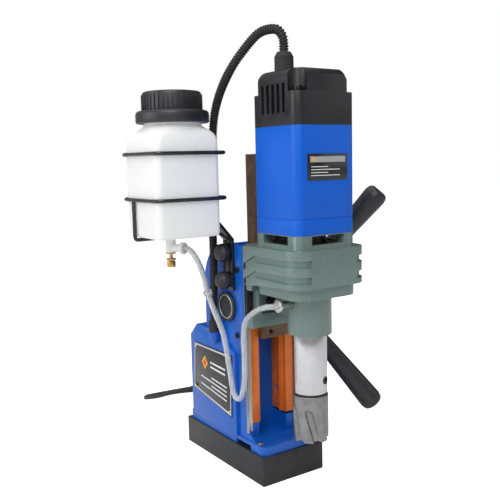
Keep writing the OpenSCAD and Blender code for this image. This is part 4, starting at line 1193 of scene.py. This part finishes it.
@dataclass
class Coolant(Assembly):
    """Bottle, its cap and ring, its cage, valve and hose clip."""

    centre: Pair = (-98.5, -13.0)
    neck: Pair = (-96.0, -13.0)
    neck_r: float = 29.4
    lean_from: float = 365.0
    lean_over: float = 11.5
    low: float = 265.0
    wall: float = 2.0
    profile: tuple[tuple[float, float, float], ...] = (
        (265.0, 32.5, 5.0), (265.4, 34.2, 6.0), (266.6, 35.4, 6.8), (268.5, 36.0, 7.0), (310.0, 36.0, 7.0),
        (352.0, 36.0, 7.0), (360.0, 35.9, 7.2), (365.0, 35.4, 8.5), (368.0, 34.4, 11.0), (370.5, 33.0, 15.0),
        (373.5, 31.2, 22.0), (376.5, 29.6, 29.6), (379.5, 29.0, 29.0), (401.0, 29.0, 29.0))
    cap_r: float = 31.0
    cap_z: Pair = (389.3, 411.0)
    ring_r: float = 37.2
    ring_z: Pair = (379.3, 391.9)
    clip_at: Point = (-66.0, -21.0, 202.0)
    clip_lean: Point = (-0.38, -0.16, 1.0)
    knob_x: float = -39.0
    knob_at: tuple[Pair, ...] = ((-20.0, 213.0), (-20.0, 243.0))

    def section(self, half: float, corner: float, z: float, bm: BMesh) -> list[BMVert]:
        """Adds a level ring of points round a square with round corners and returns it."""
        ring = []
        for q in range(4):
            for k in range(9):
                a = math.pi / 2 * (q + k / 8)
                sx, sy = ((1, 1), (-1, 1), (-1, -1), (1, -1))[q]
                share = min(1.0, max(0.0, (z - self.lean_from) / self.lean_over))
                slide = (self.neck[0] - self.centre[0]) * share
                x = self.centre[0] + slide + sx * (half - corner) + corner * math.cos(a)
                y = self.centre[1] + sy * (half - corner) + corner * math.sin(a)
                ring.append(bm.verts.new(vec((x, y, z))))
        return ring

    def bottle(self) -> Object:
        """Returns the bottle with its inner wall."""
        bm = bmesh.new()
        rings = [self.section(half, corner, z, bm) for z, half, corner in self.profile]
        inner = [(z if k else z + self.wall, half - self.wall, max(1.0, corner - self.wall))
                 for k, (z, half, corner) in enumerate(self.profile) if k not in (1, 2)]
        rings += [self.section(half, corner, z, bm) for z, half, corner in reversed(inner)]
        count = len(rings[0])
        for a, b in zip(rings, rings[1:]):
            for k in range(count):
                bm.faces.new([a[k], a[(k + 1) % count], b[(k + 1) % count], b[k]])
        bm.faces.new(rings[0])
        bm.faces.new(rings[-1])
        return new_object("bottle_shape", bm, 50)

    def cap(self, tree: Tree) -> Object:
        """Returns the screw cap with ribs round its side."""
        low, high = self.cap_z
        r = self.cap_r
        bm = bmesh.new()
        turned(bm, [(self.neck_r, low), (r - 1.4, low), (r - 1.0, low + 0.5), (r - 1.0, high - 3.2),
                    (r - 1.6, high - 1.4), (r - 3.2, high - 0.5), (r - 6.0, high - 0.2),
                    (r - 7.0, high - 0.7), (0, high - 0.9), (0, high - 5.7), (self.neck_r, high - 5.7),
                    (self.neck_r, low)], (0, 0, 0), Axis.Z, 96)
        cap = new_object("cap_shape", bm, 40)
        bm = bmesh.new()
        box(bm, (r - 1.5, -0.75, low + 1.6), (r, 0.75, high - 3.4))
        rib = bevel(new_object("rib", bm), 0.45, 2)
        cap = tree.apply(cap, Rib=rib, Count=40, Material=GRIP.build())
        bpy.data.objects.remove(rib)
        cap.data.transform(Matrix.Translation(vec((*self.neck, 0))))
        return cap

    def ring(self) -> Object:
        """Returns the ring under the cap."""
        low, high = self.ring_z
        r = self.ring_r
        bm = bmesh.new()
        turned(bm, [(self.neck_r, low), (r - 1.6, low), (r - 0.4, low + 0.6), (r, low + 1.8), (r, high - 4.0),
                    (r - 0.6, high - 1.8), (r - 2.2, high - 0.5), (r - 4.2, high), (r - 5.4, high),
                    (r - 5.4, low + 9.7), (self.neck_r, low + 9.7), (self.neck_r, low)],
               (*self.neck, 0), Axis.Z, 96)
        return new_object("ring_shape", bm, 40)

    def knob(self, name: str, y: float, z: float) -> Object:
        """Returns a mushroom knob with a fluted rim."""
        bm = bmesh.new()
        profile = [(0, 3.9), (3.0, 3.9), (3.0, 0.4), (4.9, 0.4), (4.9, -2.9), (9.0, -3.1), (9.8, -3.6),
                   (9.9, -4.6), (9.9, -8.6), (9.4, -9.6), (8.2, -11.6), (6.6, -13.2), (4.6, -13.9),
                   (0, -14.0)]
        turned(bm, profile, (self.knob_x, y, z), Axis.X, 144,
               lambda a, x: -0.45 * (0.5 + 0.5 * math.cos(a * 24)) if -9.7 < x < -3.4 else 0.0)
        return new_object(name, bm, 32)

    def clip(self) -> Object:
        """Returns the collar round the hose below the valve."""
        bm = bmesh.new()
        turned(bm, [(3.1, -2.0), (4.6, -2.0), (5.0, -1.6), (5.0, 1.6), (4.6, 2.0), (3.1, 2.0), (3.1, -2.0)],
               (0, 0, 0), Axis.Z, 40)
        clip = new_object("hose_clip", bm)
        lean = Vector(self.clip_lean).to_track_quat("Z", "Y").to_matrix().to_4x4()
        clip.data.transform(Matrix.Translation(vec(self.clip_at)) @ lean)
        return clip

    def build(self) -> None:
        """Builds the coolant's pieces."""
        self.plain("bottle_bracket", GLOSS, "wire_black", 0.4)
        self.add(self.bottle(), MILKY, "stand", "bottle_white", "bottle")
        self.add(self.cap(ring_tree()), GRIP, "bottle_cap", "black_plastic", "bottle_cap")
        self.add(self.ring(), GRIP, "bottle_ring", "black_plastic", "bottle_ring")
        for node, (y, z) in zip(("knob_lower", "knob_upper"), self.knob_at):
            self.add(self.knob(f"{node}_shape", y, z), GRIP, node, "black_plastic", node)
        self.plain("coolant_valve", WHITE, "white_plastic", 0.5)
        self.plain("valve_screw", BRASS, "brass_part", 0.25)
        self.add(self.clip(), HOSE, "stand", "clear_hose")


@dataclass
class Inside(Assembly):
    """Hidden pieces, which keep their CAD shapes."""

    nodes: dict[str, Object] = field(default_factory=dict)
    finishes: dict[str, Finish] = field(default_factory=lambda: {
        "magnet_coils": COPPER, "pinion_shaft": GEAR, "pinion_bushes": BRASS, "head_bearings": BRIGHT,
        "spindle_gear": GEAR, "pilot_spring": TOOL, "back_shaft": GEAR, "stator_core": IRON, "armature": IRON,
        "cooling_fan": CAP, "brush_gear": BRASS, "control_board": BOARD})

    def build(self) -> None:
        """Nothing is made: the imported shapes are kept."""

    def dress(self) -> None:
        """Gives the kept shapes their finishes."""
        for node, finish in self.finishes.items():
            obj = self.nodes[node]
            obj.data.materials.clear()
            obj.data.materials.append(finish.build())


def main() -> None:
    """Builds the scene in order: frame, studio, leads, then the rest."""
    logging.basicConfig(level=logging.INFO, format="%(name)s: %(message)s")
    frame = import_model()
    bodies = frame["record"]["behaviour"]["bodies"]
    Studio().build()
    assemblies = [Leads(bodies), Stand(bodies), Feed(bodies), Head(bodies), Coolant(bodies),
                  Inside(bodies, frame["nodes"])]
    for assembly in assemblies:
        assembly.build()
        assembly.dress()


if __name__ == "__main__":
    main()
